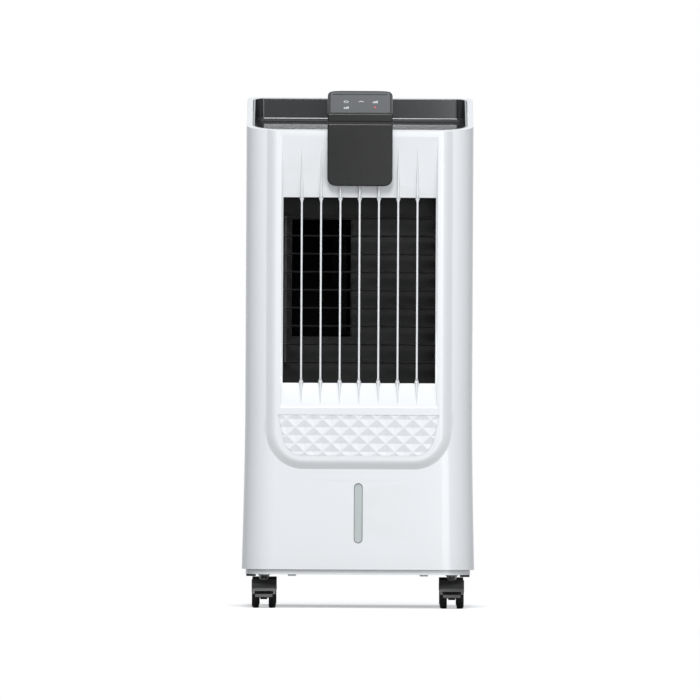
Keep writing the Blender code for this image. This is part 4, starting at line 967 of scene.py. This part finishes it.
def buildScreen():  # fine dust screen just inside the grille
    deselect()
    bpy.ops.mesh.primitive_grid_add(x_subdivisions=60, y_subdivisions=100, size=1)
    screen = settle("dustScreen")
    wide, tall = grilleHigh.x - grilleLow.x - 0.010, grilleHigh.z - grilleLow.z - 0.010
    middle = (grilleLow + grilleHigh) / 2
    for vertex in screen.data.vertices:
        vertex.co = (middle.x + vertex.co.x * wide, grilleLow.y + 0.0005, middle.z + vertex.co.y * tall)
    useModifier(screen, "WIREFRAME", thickness=0.0005, use_even_offset=False, use_boundary=True)
    return tidyMesh(screen)


finishPiece(buildScreen(), blackSatin, "grille", [])
ductCopy = nodeCopy("duct_frame", "ductFrame", False)
finishPiece(ductCopy, ductBlack, "chassis", ["duct_frame"])
frameCopy = nodeCopy("pad_frame", "padFrame", False)
finishPiece(frameCopy, blackSatin, "chassis", ["pad_frame"])
baseLow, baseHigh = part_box("base_plate")
for side, name in ((-1, "footLeft"), (1, "footRight")):
    edge = side * (baseHigh.x - 0.0004)
    ends = sorted((edge, edge - side * 0.012))
    foot = addBlock(name, (ends[0], -0.0205, baseLow.z - 0.0002), (ends[1], 0.0205, baseLow.z + 0.0036))
    finishPiece(roundOff(foot, 0.0006, 2), blackSatin, "chassis", [])

pad = {"pitch": 0.0095, "amplitude": 0.0016, "sheets": 13, "thick": 0.0007, "slant": 0.5, "steps": 4}
padLow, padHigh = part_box("cooling_pad")


def addSheet(index, height):  # one fluted sheet, upright, whose flutes slant across it
    deselect()
    long = padHigh.x - padLow.x
    columns = int(long / pad["pitch"]) * pad["steps"]
    bpy.ops.mesh.primitive_grid_add(x_subdivisions=columns, y_subdivisions=6, size=1)
    sheet = settle(f"padSheet{index}")
    middle = (padLow + padHigh) / 2
    slant = pad["slant"] * (1 if index % 2 else -1)
    reach = pad["amplitude"] * 0.9
    for vertex in sheet.data.vertices:
        x, z = vertex.co.x * long * 0.998, vertex.co.y * (padHigh.z - padLow.z) * 0.998
        wave = reach * math.sin(math.tau * (x + slant * z) / pad["pitch"])
        vertex.co = (middle.x + x, height + wave, middle.z + z)
    bpy.ops.object.mode_set(mode="EDIT")
    bpy.ops.mesh.select_all(action="SELECT")
    bpy.ops.mesh.extrude_region_move(TRANSFORM_OT_translate={"value": (0, pad["thick"], 0)})
    bpy.ops.object.mode_set(mode="OBJECT")
    return tidyMesh(sheet)


padPaper = makePlastic("padPaper", colour=(0.30, 0.17, 0.065), worn=(0.42, 0.28, 0.14),
                       gloss=(0.75, 0.92), grain=420, depth=1.0, coat=0.0, bump=0.5)
padDepth = padHigh.y - padLow.y
sheets = [addSheet(index, padLow.y + pad["amplitude"] + (padDepth - 2 * pad["amplitude"] - pad["thick"])
                   * index / (pad["sheets"] - 1)) for index in range(pad["sheets"])]
for index, sheet in enumerate(sheets):
    finishPiece(sheet, padPaper, "chassis", ["cooling_pad"] if index == 0 else [])
hose = nodeCopy("supply_hose", "supplyHose")
useModifier(hose, "SUBSURF", levels=2, render_levels=2)
finishPiece(hose, hoseBlack, "chassis", ["supply_hose"])
print("inner pieces done")


# stage


def addLight(name, place, target, width, height, power, colour=(1, 1, 1)):
    data = bpy.data.lights.new(name, "AREA")
    data.shape, data.size, data.size_y, data.energy, data.color = "RECTANGLE", width, height, power, colour
    lamp = bpy.data.objects.new(name, data)
    lamp.location = place
    lamp.rotation_euler = (Vector(target) - Vector(place)).to_track_quat("-Z", "Y").to_euler()
    bpy.context.scene.collection.objects.link(lamp)


def buildStage():
    deselect()
    bpy.ops.mesh.primitive_plane_add(size=2.6, location=(0, 0, 0))
    floor = settle("floor")
    paper = bpy.data.materials.new("paleFloor")
    paper.use_nodes = True
    shader = paper.node_tree.nodes["Principled BSDF"]
    shader.inputs["Roughness"].default_value = 0.9
    shader.inputs["Emission Color"].default_value = (1, 1, 1, 1)
    seen = addNode(paper.node_tree, "ShaderNodeLightPath")
    tone = addNode(paper.node_tree, "ShaderNodeMapRange", values={"To Min": 0.30, "To Max": 0.96})
    glow = addNode(paper.node_tree, "ShaderNodeMath", {"operation": "MULTIPLY"})
    glow.inputs[1].default_value = 0.35
    paper.node_tree.links.new(seen.outputs["Is Camera Ray"], tone.inputs["Value"])
    paper.node_tree.links.new(tone.outputs["Result"], shader.inputs["Base Color"])
    paper.node_tree.links.new(seen.outputs["Is Camera Ray"], glow.inputs[0])
    paper.node_tree.links.new(glow.outputs[0], shader.inputs["Emission Strength"])
    floor.data.materials.append(paper)
    world = bpy.data.worlds.new("studio")
    bpy.context.scene.world = world
    world.use_nodes = True
    tree = world.node_tree
    soft = tree.nodes["Background"]
    soft.inputs["Color"].default_value = (0.94, 0.965, 1.0, 1)
    place = addNode(tree, "ShaderNodeTexCoord")
    apart = addNode(tree, "ShaderNodeSeparateXYZ")
    across = addNode(tree, "ShaderNodeMath", {"operation": "ABSOLUTE"})
    dim = addNode(tree, "ShaderNodeMapRange", {"interpolation_type": "SMOOTHSTEP"},
                  {"From Min": 0.20, "From Max": 0.95, "To Min": 0.92, "To Max": 0.42})
    upright = addNode(tree, "ShaderNodeMapRange", {"interpolation_type": "SMOOTHSTEP"},
                      {"From Min": -0.5, "From Max": 0.1, "To Min": 0.25, "To Max": 1.0})
    overhead = addNode(tree, "ShaderNodeMapRange", {"interpolation_type": "SMOOTHSTEP"},
                       {"From Min": 0.3, "From Max": 0.9, "To Min": 1.0, "To Max": 0.62})
    level = addNode(tree, "ShaderNodeMath", {"operation": "MULTIPLY"})
    total = addNode(tree, "ShaderNodeMath", {"operation": "MULTIPLY"})
    bright = addNode(tree, "ShaderNodeBackground", values={"Color": (1, 1, 1, 1), "Strength": 1.0})
    path = addNode(tree, "ShaderNodeLightPath")
    mix = addNode(tree, "ShaderNodeMixShader")
    tree.links.new(place.outputs["Generated"], apart.inputs[0])
    tree.links.new(apart.outputs["X"], across.inputs[0])
    tree.links.new(across.outputs[0], dim.inputs["Value"])
    tree.links.new(apart.outputs["Z"], upright.inputs["Value"])
    tree.links.new(apart.outputs["Z"], overhead.inputs["Value"])
    tree.links.new(upright.outputs["Result"], level.inputs[0])
    tree.links.new(overhead.outputs["Result"], level.inputs[1])
    tree.links.new(dim.outputs["Result"], total.inputs[0])
    tree.links.new(level.outputs[0], total.inputs[1])
    tree.links.new(total.outputs[0], soft.inputs["Strength"])
    tree.links.new(path.outputs["Is Camera Ray"], mix.inputs["Fac"])
    tree.links.new(soft.outputs[0], mix.inputs[1])
    tree.links.new(bright.outputs[0], mix.inputs[2])
    tree.links.new(mix.outputs[0], tree.nodes["World Output"].inputs["Surface"])
    middle = (0, 0, 0.33)
    addLight("keyLight", (-0.12, -2.3, 1.75), middle, 0.6, 0.6, 30)
    addLight("fillLight", (0.7, -2.5, 0.5), middle, 1.2, 1.2, 12)
    addLight("topLight", (0, -0.2, 2.4), middle, 1.4, 1.4, 6)
    addLight("backLight", (0.6, 1.6, 2.4), middle, 1.6, 1.4, 8)


def buildCamera():
    view = {
        "distance": 30.0, "elevation": 0.4, "pixel": 0.001245, "width": 700, "roll": 0.28,
        "aim": (-0.0112, -0.14, 0.3218),
    }
    data = bpy.data.cameras.new("camera")
    camera = bpy.data.objects.new("camera", data)
    bpy.context.scene.collection.objects.link(camera)
    data.sensor_width = 36
    data.lens = data.sensor_width * view["distance"] / (view["width"] * view["pixel"])
    data.clip_end = 50
    tilt = math.radians(view["elevation"])
    aim = Vector(view["aim"])
    camera.location = aim + Vector((0, -math.cos(tilt), math.sin(tilt))) * view["distance"]
    look = (aim - camera.location).to_track_quat("-Z", "Y").to_matrix().to_4x4()
    spun = look @ Matrix.Rotation(math.radians(view["roll"]), 4, "Z")
    camera.rotation_euler = spun.to_euler()
    bpy.context.scene.camera = camera
    bpy.context.scene.view_settings.view_transform = "Standard"


buildStage()
buildCamera()
